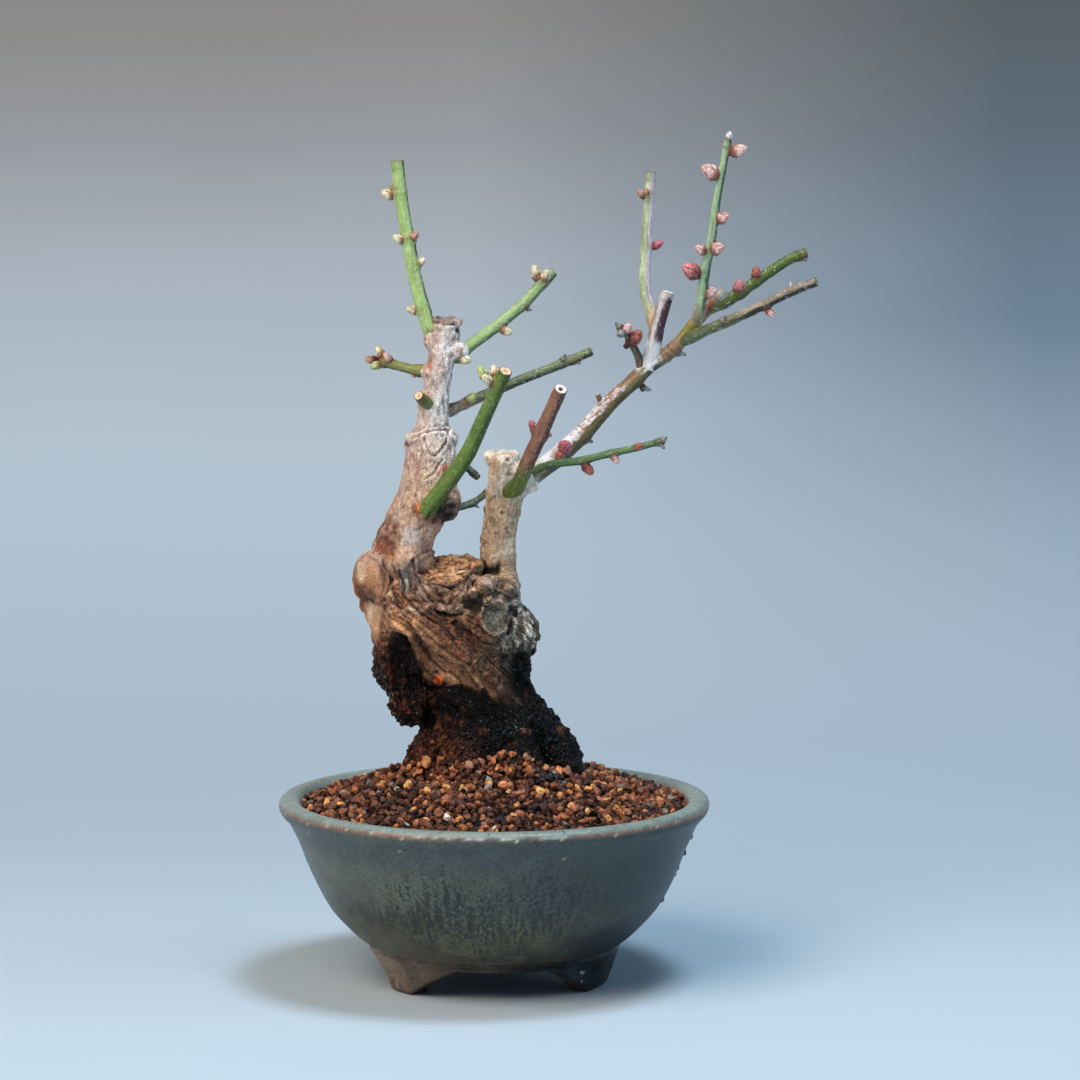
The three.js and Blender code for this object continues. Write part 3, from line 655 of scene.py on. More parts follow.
def pot_rows(turns):
    """Radius and height of every row of the pot at each angle, once round its wall from the drain hole."""
    low = foot_bottom(turns)
    count = len(turns)
    rows = []

    def level(radius, height):
        rows.append((np.broadcast_to(radius, count), np.broadcast_to(height, count)))

    for radius, height in ((DRAIN_RADIUS, 14.4), (DRAIN_RADIUS, 11.6), (DRAIN_RADIUS + 0.6, FLOOR_UNDER),
                           (14, FLOOR_UNDER), (22, FLOOR_UNDER), (29.0, FLOOR_UNDER)):
        level(radius, height)
    for share in np.linspace(0, 1, 9):
        height = mix(10.9, low + 0.5, share)
        level(FOOT_INNER + FOOT_INNER_SLOPE * height, height)
    inner = FOOT_INNER + FOOT_INNER_SLOPE * low
    outer = mix(FOOT_OUTER_BOTTOM, FOOT_OUTER_TOP, low / FOOT_HEIGHT)
    for share, lift in ((0.08, 0.12), (0.2, 0.0), (0.4, 0.0), (0.6, 0.0), (0.8, 0.0), (0.92, 0.12)):
        level(mix(inner, outer, share), low + lift)
    for share in np.linspace(0, 1, 12):
        height = mix(low + 0.5, 11.3, share)
        swell = 0.35 * np.sin(np.pi * share)
        level(mix(FOOT_OUTER_BOTTOM, FOOT_OUTER_TOP, height / FOOT_HEIGHT) - swell, height)
    wall, _ = curve_through([(radius, height, 0) for radius, height in POT_OUTER + POT_INNER[:3]], 0.75)
    inside, _ = curve_through([(radius, height, 0) for radius, height in POT_INNER[2:]], 2.0)
    for radius, height, _ in np.vstack([wall, inside[1:]]):
        level(radius, height)
    return np.array([row[0] for row in rows]), np.array([row[1] for row in rows])


def build_pot(material):
    turns = np.arange(-180, 180, POT_STEP)
    radius, height = pot_rows(turns)
    angle = np.radians(turns)[None, :]
    rows, columns = radius.shape
    points = np.stack([radius * np.sin(angle), -radius * np.cos(angle), height], axis=-1)
    outside = np.arange(rows) >= FOOT_ROWS
    wave = 0.16 * layered_noise(points * (0.5, 0.5, 1), 9, 3)
    wave = wave + 0.1 * noise(points * (0.05, 0.05, 1), 3.2, 8)
    on_wall = band(height, 9, 14, 50, 52) * outside[:, None]
    lip = smooth_step(51, 53, height) * outside[:, None]
    swell = wave * on_wall + lip * (0.1 * noise(points, 5, 21) + 0.06 * noise(points, 1.8, 22))
    radius = np.minimum(radius + swell, RIM_RADIUS - 0.03)
    points = np.stack([radius * np.sin(angle), -radius * np.cos(angle), height], axis=-1).reshape(-1, 3)
    inner = np.zeros((rows, columns), bool)
    inner[int(np.argmax(height[:, 0])):] = True
    paint, runs = pot_paint(points, inner.ravel(), np.tile(turns, rows))
    shape = Shape()
    shape.add(points, grid_faces(rows + 1, columns)[: rows * columns] % (rows * columns), paint=paint)
    along = np.column_stack([np.radians(np.tile(turns, rows)) * 58, points[:, 2], np.zeros(len(points))])
    places = [along]
    marks = [runs]
    ball, faces = ICO_2
    for turn, level, half in NODULES:
        wall = np.interp(level, [p[1] for p in POT_OUTER[:9]], [p[0] for p in POT_OUTER[:9]])
        place = np.array([math.sin(math.radians(turn)), -math.cos(math.radians(turn)), 0]) * wall
        bumps = ball * half * (1.15, 1.15, 1.5) * (1 + 0.2 * noise(ball + turn, 0.9, 5))[:, None]
        shape.add(bumps + place + (0, 0, level), triangles=faces,
                  paint=even_paint(ball, NODULE_TONE, 0.4))
        places.append(np.zeros((len(ball), 3)))
        marks.append(np.zeros(len(ball)))
    mesh = shape.mesh("glazed_pot")
    add_value(mesh, "runs", np.concatenate(marks))
    add_vector(mesh, "along", np.vstack(places))
    return make_piece("glazed_pot", mesh, material, ["pot"])


def cloud(turn, height, middle, half):
    """A soft oval on the pot's wall, by its angle from the front in degrees and its height."""
    return np.exp(-((turn - middle[0]) / half[0]) ** 2 - ((height - middle[1]) / half[1]) ** 2)


def wall_tones(turn, height, drift, fine, olive, left, blue):
    """The bowl's glaze: olive in the middle, a blue-black patch low on the right, brown stains and a dark
    pool low down. Painted shade darkens it and turns it blue to the right and under the lip, and painted
    bluish reflections lie along its left and right edges.
    """
    away = 1 - smooth_step(100, 172, np.abs(turn))
    upper = smooth_step(41, 47, height + 2 * drift) * (0.6 - 0.5 * smooth_step(-10, 45, turn))
    brown = cloud(turn, height, (-30, 15), (40, 5))
    pool = bell(turn, 12, 24) * smooth_step(19, 12.5, height)
    return layered(
        np.tile(tone(90, 96, 84), (len(turn), 1)),
        # Painted shade: the glaze darkens and turns blue towards the right.
        ((0, 33, 42), smooth_step(-34, 62, turn) * 0.96 * away),
        # Painted reflections: pale bluish grey along the left edge and blue along the right edge.
        ((112, 124, 128), smooth_step(68, 92, -turn) * 0.6 * away),
        ((62, 92, 104), smooth_step(72, 92, turn) * 0.6 * away),
        # Painted shade: a darker bluish band under the lip, strongest on the left.
        ((60, 72, 76), upper * (1 - smooth_step(60, 88, np.abs(turn)))),
        ((92, 92, 62), olive * (1 - smooth_step(30, 75, np.abs(turn - 5))) * 0.75),
        ((58, 50, 40), np.clip(left * (0.7 + fine), 0, 0.9)),
        ((70, 56, 42), np.clip(brown * (0.6 + 1.4 * fine), 0, 0.8)),
        ((6, 14, 20), np.clip(1.5 * blue + 0.3 * fine * blue, 0, 1)),
        ((16, 18, 18), 0.9 * pool * smooth_step(-0.25, 0.25, fine)),
    )


def foot_tones(color, points, turn, drift, fine, foot, dark_foot):
    """Foot ring and feet: bronze on the left with a painted highlight along the ring's ridge, painted shade
    on the ring between the front feet, nearly black on the right with a painted bluish reflection and
    painted white glints, and bare clay along the ground.
    """
    height = points[:, 2]
    bronze = lay(tone(146, 124, 102), tone(66, 52, 42), smooth_step(-0.1, 0.6, fine))
    ridge = bell(height, 12.9, 0.45) * (turn < 25) * (turn > -85)
    flank = 0.5 * smooth_step(26, 34, turn) * smooth_step(46, 38, turn) * foot * (height < 5)
    bare = smooth_step(2.0, 0.3, height) + flank
    u, v = seen(points)
    in_view = points[:, 1] < 0
    glints = [((190, 214, 226), 0.9 * in_view * foot * spot(u, v, *glint, 0.5)) for glint in FOOT_GLINTS]
    return layered(
        lay(color, bronze, foot),
        # Painted highlight along the ridge of the foot ring.
        ((132, 112, 94), 0.55 * ridge * smooth_step(-0.4, 0.3, drift + fine)),
        ((74, 60, 50), 0.75 * foot * smooth_step(-60, -40, turn + 8 * fine) * (turn < 90)),
        # Painted shade on the ring between the front feet.
        ((52, 42, 35), 0.85 * foot * smooth_step(-32, -20, turn) * (turn < 90)),
        ((3, 5, 7), dark_foot),
        ((104, 58, 40), np.clip(bare, 0, 1) * (0.75 - 0.45 * dark_foot)),
        # Painted reflection: a bluish patch on the dark foot, then painted white glints.
        ((18, 40, 56), 0.7 * dark_foot * in_view * spot(u, v, (578, 974), (16, 9), 0.8)),
        *glints,
    )


def lip_tones(color, points, inner, turn, fine, edge, top):
    """Lip: a rusty edge with a white glint in the middle, specks, a pale top and a stain inside."""
    height = points[:, 2]
    rust = edge * (1 - 0.55 * smooth_step(-22, 0, turn) * (1 - smooth_step(20, 32, turn)))
    glint = edge * smooth_step(54.4, 54.8, height) * smooth_step(-24, -10, turn)
    glint = glint * (1 - smooth_step(16, 26, turn))
    speckle = (edge > 0.3) * (lattice(np.floor(points * 1.5), 77) > 0.965)
    low_specks = (height > 47) * (height < 53) * ~inner * (lattice(np.floor(points * 1.2), 79) > 0.996)
    stain = inner * smooth_step(56.2, 54.0, height) * smooth_step(60, 100, turn)
    return layered(
        color,
        ((164, 128, 108), np.clip(rust * (0.75 + 0.5 * fine), 0, 0.9)),
        ((206, 216, 216), 0.85 * glint * smooth_step(-0.4, 0.2, fine)),
        ((206, 198, 178), speckle * 0.8),
        ((190, 178, 150), low_specks * 0.8),
        ((146, 162, 156), top * np.clip(0.9 + 0.3 * fine, 0, 1)),
        ((128, 66, 42), 0.85 * stain),
    )


def pot_paint(points, inner, turn):
    """Zones of the glaze, and how thick the dark runs lie."""
    height = points[:, 2]
    drift = layered_noise(points, 14, 31)
    fine = layered_noise(points, 3.0, 37)
    olive = smooth_step(34, 20, height + 4 * drift)
    left = cloud(turn, height, (-42, 25), (22, 8))
    blue = cloud(turn, height, (54, 18), (28, 9))
    color = wall_tones(turn, height, drift, fine, olive, left, blue)
    foot = smooth_step(13.4, 11.8, height)
    dark_foot = foot * smooth_step(-4, 14, turn) * (1 - smooth_step(150, 160, turn))
    color = foot_tones(color, points, turn, drift, fine, foot, dark_foot)
    inside_ring = (np.hypot(points[:, 0], points[:, 1]) < 33.5) & (height < 12)
    color[inside_ring] = tone(92, 58, 40)
    edge = band(height, 54.0, 54.5, 55.3, 55.7) * ~inner
    top = np.clip(smooth_step(55.3, 55.8, height) + inner * (height > 40), 0, 1)
    color = lip_tones(color, points, inner, turn, fine, edge, top)
    rough = 0.33 - 0.1 * edge - 0.14 * dark_foot - 0.05 * blue - 0.08 * top + 0.04 * olive + 0.05 * fine
    rough = np.where(inside_ring, 0.85, rough)
    rough = np.where(foot * (1 - dark_foot) > 0.5, 0.25 + 0.06 * fine, rough)
    middle = np.exp(-((turn - 6) / 42) ** 4 - ((height - 28) / 17) ** 2)
    runs = np.clip(1.0 * middle + 0.45 * left + 0.3 * drift, 0, 1) * (height < 50) * ~inner * (1 - foot)
    runs = runs - np.clip(top + 0.7 * edge, 0, 1)
    return colored(np.clip(color, 0, 1), np.clip(rough, 0.12, 0.95)), runs


def icosphere(subdivisions):
    shell = bmesh.new()
    bmesh.ops.create_icosphere(shell, subdivisions=subdivisions, radius=1)
    points = np.array([vertex.co[:] for vertex in shell.verts])
    faces = np.array([[vertex.index for vertex in face.verts] for face in shell.faces])
    shell.free()
    return points, faces


ICO_2 = icosphere(2)
ICO_4 = icosphere(4)


# Old trunk: height, middle and half widths across and in depth of each level.
TRUNK_LEVELS = (
    (50, -1, 0, 17, 16), (58, -1, 0, 20.5, 18.5), (66, -1.5, 0, 21.5, 19), (75, -1, 0, 17.8, 16.5),
    (84, -3, 0, 15, 15.5), (92, -7, 0, 17, 16.5), (98, -10.5, 0, 21, 18.5), (104, -12.5, 0, 24.3, 19.5),
    (110, -13, 0, 24.3, 19.5), (116, -16, 0, 23.3, 18.5), (121, -18.5, 1, 22, 16), (125, -19, 2, 17, 12),
    (127, -20, 3, 10, 7),
)

# Lumps of the old trunk: middle and half sizes.
TRUNK_LUMPS = (
    ((-35, -4, 124), (7.4, 7.5, 8)),  # left shoulder knob
    ((-28.4, -5, 97), (8.2, 8, 10)),  # hanging dark lobe, upper half
    ((-24.3, -6, 86.6), (7.4, 7, 8)),  # hanging dark lobe, lower half
    ((5.5, -9, 105), (6.8, 7.5, 7)),  # right burl
    ((16, -16, 63.5), (5.6, 5.4, 4.8)),  # root lump on the soil
    ((0.5, 0, 119), (6.8, 8.5, 8)),  # shoulder under the right trunk
    ((-20, 13, 106), (10, 9, 13)),  # swelling behind
    ((-21, -13, 112), (8, 6.5, 10)),  # front swelling
)

# Round limbs of the old wood: middle line and the radius at each of its points.
TRUNK_LIMBS = (
    # Left leader
    (((-24, 1, 114), (-27.5, 0, 131.5), (-25.3, 0, 138), (-21.7, 0, 145), (-19.3, 0, 153), (-19, 0, 160.5),
      (-18.9, 0, 165), (-18.6, 0, 168), (-18, 0, 175.5), (-17, 0, 182), (-15.8, 0, 188.5), (-14.6, 0, 194),
      (-14, 0, 201.5)),
     (12, 9, 8, 8.2, 8.2, 7.5, 6.9, 4.9, 4.3, 4, 3.9, 3.9, 3.8)),
    # Right trunk
    (((-1, 2, 112), (1, 2, 119), (1.4, 2, 128), (1.3, 1, 134), (2.1, 0, 141), (3.3, 0, 149), (3.4, -1, 156),
      (2.8, -2, 161)),
     (7, 6, 5, 5, 5.1, 5.4, 5, 4.3)),
    # Stump
    (((-13, 1, 110), (-13.6, -1.5, 119), (-14.4, -4.2, 126.8)), (12, 11, 10.3)),
    # Front cut scar
    (((-3, -8, 112), (-1, -19.8, 111.3)), (5.4, 5)),
    # Right root, left root, front root, front right root, back root, back left root
    (((2, -3, 94), (8, -4, 84.5), (14.5, -5, 77), (19.5, -6, 69.5), (24, -7, 58)),
     (6.5, 6.3, 6.3, 6.3, 4.6)),
    (((-9, -3, 87), (-16, -5, 77), (-21.5, -7, 68), (-26.5, -8, 58)), (6.5, 6, 5.6, 4.4)),
    (((-6, -9, 84), (-7, -12.5, 75), (-8, -15.5, 66), (-9, -18.5, 57)), (6, 6, 6, 4.5)),
    (((3, -9, 86), (6, -12.5, 76), (10, -15.5, 66), (13, -18, 57)), (6, 6, 6, 4.5)),
    (((2, 9, 86), (5, 13, 76), (8, 17, 66), (11, 21, 57)), (6, 5.6, 5.4, 4)),
    (((-9, 8, 84), (-13, 12, 75), (-17, 16, 66), (-21, 20, 57)), (6, 5.4, 5.2, 4)),
)


def tube_points(path, radii, sides, spacing):
    """A closed tube whose radii are given at the points of its path."""
    centre, length = curve_through(path, spacing)
    stops = [curve_through(path[: i + 1], 2)[1] / length if i else 0 for i in range(len(path))]
    share = np.linspace(0, 1, len(centre))
    radius = np.interp(share, np.array(stops) / stops[-1], radii)
    _, side, other = frames_along(centre)
    angle = np.arange(sides) * 2 * math.pi / sides
    ring = side[:, None] * np.cos(angle)[None, :, None] + other[:, None] * np.sin(angle)[None, :, None]
    points = (centre[:, None] + radius[:, None, None] * ring).reshape(-1, 3)
    points = np.vstack([points, centre[:1], centre[-1:]])
    quads = grid_faces(len(centre), sides)
    return points, quads, end_fans(len(centre), sides, len(points))


def trunk_body():
    levels = np.array(TRUNK_LEVELS, float)
    fine = np.linspace(0, 1, BODY_ROWS)
    given = np.linspace(0, 1, len(levels))
    rows = np.stack([np.interp(fine, given, levels[:, i]) for i in range(5)], axis=1)
    angle = np.linspace(0, 2 * math.pi, BODY_SIDES, endpoint=False)[None, :]
    turn = angle + RIDGE_TWIST * rows[:, :1]
    ridge = 1 + 0.04 * np.cos(7 * turn) + 0.02 * np.cos(11 * turn)
    x = rows[:, 1:2] + rows[:, 3:4] * ridge * np.cos(angle)
    y = rows[:, 2:3] + rows[:, 4:5] * ridge * np.sin(angle)
    z = np.broadcast_to(rows[:, :1], x.shape)
    points = np.stack([x, y, z], axis=-1).reshape(-1, 3)
    ends = np.array([[rows[0, 1], rows[0, 2], rows[0, 0]], [rows[-1, 1], rows[-1, 2], rows[-1, 0]]])
    points = np.vstack([points, ends])
    return points, grid_faces(BODY_ROWS, BODY_SIDES), end_fans(BODY_ROWS, BODY_SIDES, len(points))


def remeshed(shape, name, voxel, smoothing):
    """One even skin over shapes that cross, as points and faces in millimetres."""
    rough = bpy.data.objects.new(name, shape.mesh(name))
    bpy.context.scene.collection.objects.link(rough)
    skin = rough.modifiers.new("skin", "REMESH")
    skin.mode = "VOXEL"
    skin.voxel_size = voxel * MM
    ease = rough.modifiers.new("ease", "SMOOTH")
    ease.iterations = smoothing
    ease.factor = 0.5
    result = rough.evaluated_get(bpy.context.evaluated_depsgraph_get()).to_mesh()
    points = np.empty(len(result.vertices) * 3, np.float32)
    result.vertices.foreach_get("co", points)
    corners = np.empty(len(result.loops), np.int32)
    result.loops.foreach_get("vertex_index", corners)
    bpy.data.objects.remove(rough)
    return (points.reshape(-1, 3).astype(float) - POT_AXIS) / MM, corners.reshape(-1, 4)


def vertex_normals(points, quads):
    corner = points[quads]
    across = np.cross(corner[:, 2] - corner[:, 0], corner[:, 3] - corner[:, 1])
    normals = np.zeros_like(points)
    for i in range(4):
        for axis in range(3):
            normals[:, axis] += np.bincount(quads[:, i], across[:, axis], len(points))
    return unit(normals)


# Places on the front of the old wood, as pixels of the photograph.
CRACK = ((402, 613), (411, 610), (420, 613), (430, 606), (437, 611), (448, 615), (460, 615), (470, 609),
         (485, 602))
CRACK_DARK = ((431, 608), (438, 612), (449, 616), (460, 615), (466, 611))
FAN_MIDDLE = (356, 578)
FAN_SPACING = 4.6
STRAND_BAND = ((394, 612), (412, 634), (442, 664), (482, 700))
MAIN_STRAND = ((392, 612), (404, 632), (417, 652), (426, 668), (430, 680))
SCAR_DISC = (495, 615)
SCAR_HALF = (14, 18.5)
STUMP_MIDDLE = (448, 568)
STUMP_HALF = (33, 17)
LEADER_FOLDS = (
    ((424, 438), (433, 457), (441, 448), (450, 432)),
    ((410, 439), (425, 433), (437, 431), (449, 431)),
    ((449, 434), (455, 446), (453, 458)),
    ((424, 480), (432, 474), (441, 460)),
    ((436, 322), (446, 326), (456, 324)),
)
LOBE_GROOVES = (
    ((388, 662), (396, 690), (402, 712)),
    ((402, 650), (409, 676), (424, 706)),
    ((378, 676), (384, 694), (392, 706)),
)
BARK_FOLDS = (
    ((412, 560), (416, 575), (424, 592), (436, 606)),
    ((419, 584), (430, 600), (447, 604), (462, 596)),
    ((428, 588), (440, 596), (454, 596), (464, 588)),
    ((466, 584), (470, 574), (480, 566)),
    ((383, 560), (392, 580), (386, 600)),
    ((395, 590), (406, 600), (420, 602)),
    ((400, 570), (405, 585), (403, 598)),
)
HOLLOWS = (
    # middle, half size, depth
    ((400, 654), (11, 19), 3.8),
    ((413, 688), (8, 15), 2.2),
    ((396, 676), (7, 9), 1.4),
    ((493, 570), (7, 4), 1.5),
    ((499, 566), (3, 4), 0.8),
    ((480, 571), (7, 5), 2.0),
    ((474, 603), (11, 7), 2.0),
    ((503, 582), (7, 9), 1.2),
    ((522, 672), (9, 22), 2.2),
    ((508, 662), (10, 9), 1.0),
    ((372, 598), (3.5, 10), 0.9),
    ((430, 716), (6, 14), 2.0),
    ((441, 664), (5, 14), 0.7),
    ((425, 545), (5, 8), 0.8),
    ((449, 536), (4, 9), 0.8),
    ((437, 466), (4, 4), 0.4),
    ((459, 330), (3.5, 3), 1.2),
    ((446, 319), (6, 3), 0.9),
    ((394, 552), (4, 8), 0.9),
    ((384, 570), (4, 9), 0.8),
)
SWELLINGS = (
    ((380, 648), (7, 8), 1.4),
    ((389, 600), (6, 6), 0.8),
    ((403, 560), (8, 9), 0.9),
    ((404, 595), (7, 5), 0.8),
    ((436, 593), (8, 6), 0.7),
    ((457, 600), (8, 6), 0.8),
    ((485, 583), (8, 8), 1.6),
    ((418, 623), (5, 5), 0.6),
    ((439, 680), (4, 4), 1.0),
    ((470, 655), (14, 10), 1.0),
    ((497, 645), (12, 9), 0.9),
    ((424, 507), (7, 9), 0.9),
    ((446, 512), (8, 9), 1.2),
    ((446, 471), (3.5, 4), 1.0),
    ((508, 520), (4, 4), 0.4),
    ((519, 540), (4, 5), 0.4),
    ((458, 322), (3, 3), 0.9),
    ((514, 603), (5, 2.4), 1.6),
    ((428, 371), (3, 4), 0.7),
)


# Collars, nubs and a spur that only the looks need: middle and half sizes.
TRUNK_NUBS = (
    ((-18.3, 0.2, 195.4), (3.0, 3.2, 4.2)),
    ((-10.6, -0.6, 191.6), (3.0, 3.2, 3.0)),
    ((-16.9, -1.0, 201.4), (1.2, 1.2, 1.5)),
    ((-12.4, -1.6, 201.2), (2.0, 1.8, 1.2)),
    ((-20.6, -2.0, 176.4), (2.5, 2.6, 2.4)),
    ((-20.3, 0.6, 185.3), (2.0, 2.2, 2.4)),
    ((-25.8, -1.5, 163.8), (1.6, 2.0, 1.5)),
    ((-23.8, -2.5, 165.6), (2.6, 3.6, 2.0)),
    ((-13.0, -1.5, 165.2), (2.2, 4.0, 2.8)),
    ((-13.2, -2.0, 146.2), (3.4, 4.6, 5.4)),
    ((-29.6, -2.0, 139.0), (3.0, 4.0, 5.0)),
    ((-32.6, -2.5, 131.6), (3.4, 4.0, 4.6)),
    ((-38.4, -3.0, 129.6), (1.5, 1.8, 1.6)),
    ((11.2, -2.6, 151.0), (1.9, 2.0, 2.0)),
    ((8.0, -3.0, 154.4), (4.4, 4.2, 4.2)),
    ((-1.2, 0.8, 148.6), (1.6, 1.6, 1.6)),
    ((-0.6, -1.0, 159.6), (2.2, 3.0, 2.0)),
    ((-3.2, -17.0, 121.0), (3.4, 3.0, 3.4)),
)


def strand_field(points, u, v):
    """Twisted strands that fan out over the front: one in a strand's middle, low in the gap beside it."""
    du, dv = u - FAN_MIDDLE[0], v - FAN_MIDDLE[1]
    turn = np.degrees(np.arctan2(dv, du))
    warp = 0.75 * noise(points, 9, 301) + 0.2 * noise(points, 2.6, 302)
    phase = turn / FAN_SPACING + warp
    across = np.abs(phase - np.floor(phase) - 0.5) * 2
    zeros = np.zeros_like(u)
    own = lattice(np.stack([np.floor(phase), zeros, zeros], axis=-1), 303)
    gap = lattice(np.stack([np.round(phase), zeros, np.ones_like(u)], axis=-1), 305)
    ridge = 1 - across**3 * (0.35 + 0.65 * gap)
    beside, _ = from_path(u, v, STRAND_BAND)
    mask = (1 - smooth_step(14, 20, beside + 5 * noise(points, 4, 304))) * smooth_step(606, 618, v)
    return ridge, own, mask, np.hypot(du, dv), turn


def neighbour_mean(values, quads, count):
    total = np.zeros((count, values.shape[1]))
    weight = np.zeros(count)
    for i in range(4):
        a, b = quads[:, i], quads[:, (i + 1) % 4]
        for axis in range(values.shape[1]):
            from_b = np.bincount(a, values[b, axis], count)
            from_a = np.bincount(b, values[a, axis], count)
            total[:, axis] += from_b + from_a
        weight += np.bincount(a, minlength=count) + np.bincount(b, minlength=count)
    return total / weight[:, None]


def cavities(points, quads, rounds):
    """How deep each point lies below its smoothed surroundings, in millimetres, below zero on a ridge."""
    smooth = points
    for _ in range(rounds):
        smooth = neighbour_mean(smooth, quads, len(points))
    return np.einsum("ij,ij->i", smooth - points, vertex_normals(points, quads))


def trunk_zones(points, normals):
    """Soft masks of the parts of the old wood, and the coordinates that its bark follows."""
    x, y, z = points.T
    u, v = seen(points)
    front = smooth_step(0.0, 0.45, -normals[:, 1])
    levels = np.array(TRUNK_LEVELS, float)
    turn = np.arctan2(y, x - np.interp(z, levels[:, 0], levels[:, 1])) + RIDGE_TWIST * z
    fan, fan_own, fan_mask, fan_reach, fan_turn = strand_field(points, u, v)
    fan_mask = fan_mask * front
    on_top = smooth_step(0.35, 0.7, normals[:, 2]) * (y < 10)
    knob_and_strip = np.maximum(spot(u, v, (371, 580), (16, 24), 0.4), spot(u, v, (374, 616), (9, 24), 0.4))
    return SimpleNamespace(
        u=u, v=v, front=front, fan=fan, fan_own=fan_own, fan_mask=fan_mask, fan_reach=fan_reach,
        fan_turn=fan_turn,
        helix=np.stack([18 * np.cos(turn), 18 * np.sin(turn), z / 6], axis=1),
        body=band(z, 88, 95, 120, 127),
        lower=1 - smooth_step(82, 94, z),
        leader=smooth_step(124, 131, z),
        crumbly=spot(u, v, (474, 640), (40, 38), 0.4) * front * (1 - fan_mask),
        lobe=spot(u, v, (398, 678), (32, 46), 0.3) * (x < -17) * (z > 76) * (z < 108),
        top=spot(u, v, STUMP_MIDDLE, STUMP_HALF, 0.1) * on_top,
        smooth=knob_and_strip * front,
    )


def bark_relief(points, mark):
    """Strands, sharp edged plates at two sizes, lumps and grit of the bark."""
    body, lower, leader, fan_mask = mark.body, mark.lower, mark.leader, mark.fan_mask
    _, flakes_fine = cells(points * (0.8, 1, 0.8), 1.6, 47)
    mark.strands = 1 - np.abs(layered_noise(mark.helix, 3.4, 5, 3)) * 2
    push = 0.8 * (mark.strands - 0.3) * body * (1 - 0.7 * fan_mask) * (1 - 0.85 * mark.crumbly)
    push += fan_mask * (0.8 * (mark.fan - 0.7) + 0.8 * (mark.fan_own - 0.5) + 0.4 * (flakes_fine - 0.5))
    thin_strands = 1 - np.abs(noise(mark.helix, 1.3, 15)) * 2
    push += 0.25 * thin_strands * body * (1 - 0.8 * fan_mask)
    _, mark.plate_share = cells(mark.helix * (1, 1, 0.9), 3.1, 41)
    push += body * (1 - fan_mask) * 0.9 * (mark.plate_share - 0.5)
    _, mark.flake_share = cells(points, 1.9, 43)
    push += (0.8 * body * (1 - 0.8 * fan_mask) + 0.25 * leader) * (mark.flake_share - 0.5)
    lumps, mark.lump_share = cells(points, 2.4, 40)
    push += (0.5 - lumps) * 1.5 * lower
    push += 0.9 * layered_noise(points, 8, 52) * (lower + 0.6 * body)
    grit, mark.grit_share = cells(points, 1.15, 60)
    push += (0.5 - grit) * 0.6 * (0.25 + 1.25 * lower + 0.3 * body)
    push += mark.lobe * ((0.5 - lumps) * 1.6 + 0.7 * layered_noise(points, 4, 71) - 0.5)
    fibre = 1 - 2 * np.abs(noise(points * UPRIGHT, 1.5, 87))
    weathered = 0.45 * layered_noise(points * (1, 1, 0.6), 3.6, 83)
    weathered = weathered + 0.16 * fibre + 0.14 * noise(points, 0.9, 85)
    push += leader * weathered
    mark.knots, mark.knot_share = cells(points, 3.8, 90)
    right_trunk = leader * (points[:, 0] > -6)
    ring = bell(mark.knots, 0.28, 0.08) - 1.8 * bell(mark.knots, 0, 0.15)
    push += 0.45 * ring * (mark.knot_share > 0.4) * (0.25 * leader + 0.75 * right_trunk)
    return push


def stump_relief(points, normals, mark, push):
    """The sawn stump's crumbled face and rim, and the broken rings like a bowl below it."""
    bowl = oval_reach(mark.u, mark.v, BOWL_MIDDLE, BOWL_HALF)
    mark.bowl = mark.front * smooth_step(576, 586, mark.v) * (1 - smooth_step(0.9, 1.08, bowl))
    mark.bowl = mark.bowl * (mark.v < 616)
    uneven = bowl * 34 + 3.6 * noise(points, 5, 14) + 2.2 * noise(points, 2.2, 16)
    push += 0.45 * mark.bowl * np.sin(uneven)
    _, mark.crumb_share = cells(points, 1.7, 35)
    crumbled = 0.8 * layered_noise(points, 3.2, 33, 3) + 0.8 * (mark.crumb_share - 0.5) - 0.7
    push = mix(push, crumbled, mark.top)
    stump_reach = oval_reach(mark.u, mark.v, STUMP_MIDDLE, STUMP_HALF)
    mark.rim = bell(stump_reach, 1.02, 0.08) * smooth_step(-0.2, 0.4, normals[:, 2]) * (points[:, 2] > 112)
    return push + 0.7 * mark.rim * (points[:, 1] < 4)


def fold_relief(points, mark, push):
    """The crack with its lip, the main strand, and the folds and grooves that show on the front."""
    u, v, front = mark.u, mark.v, mark.front
    lip_distance, _ = from_path(u, v, CRACK)
    mark.lip = front * bell(lip_distance, 0, 2.0)
    push += 0.7 * front * bell(lip_distance, 0, 2.8) * (1 + 0.5 * noise(points, 2, 18))
    crack_distance, crack_share = from_path(u, v, CRACK_DARK)
    crack = front * bell(crack_distance, 0, 2.0) * np.sin(np.pi * np.clip(crack_share, 0.05, 0.95)) ** 0.5
    push -= CRACK_DEPTH * crack
    main_distance, _ = from_path(u, v, MAIN_STRAND)
    mark.main = front * bell(main_distance, 0, 4.2)
    push += front * (1.3 * bell(main_distance, 0, 4.2) - 0.8 * bell(main_distance, 8, 3.0))
    folds = np.zeros(len(points))
    for path in LEADER_FOLDS:
        distance = from_wavy_path(points, u, v, path, 1.6, 2.5, 17)
        push += front * 0.5 * bell(distance, 2.6, 1.6)
        folds = np.maximum(folds, (0.26 + 0.3 * noise(points, 3, 22)) * front * bell(distance, 0, 1.0))
    for path in LOBE_GROOVES:
        distance, _ = from_path(u, v, path)
        push += front * (0.5 * bell(distance, 4, 2.5) - 1.1 * bell(distance, 0, 2.6))
    for path in BARK_FOLDS:
        distance = from_wavy_path(points, u, v, path, 2, 3, 19)
        push += front * 0.4 * bell(distance, 3.2, 1.8)
        folds = np.maximum(folds, 0.5 * front * bell(distance, 0, 1.5))
    mark.crack, mark.folds = crack, folds
    return push - FOLD_DEPTH * folds


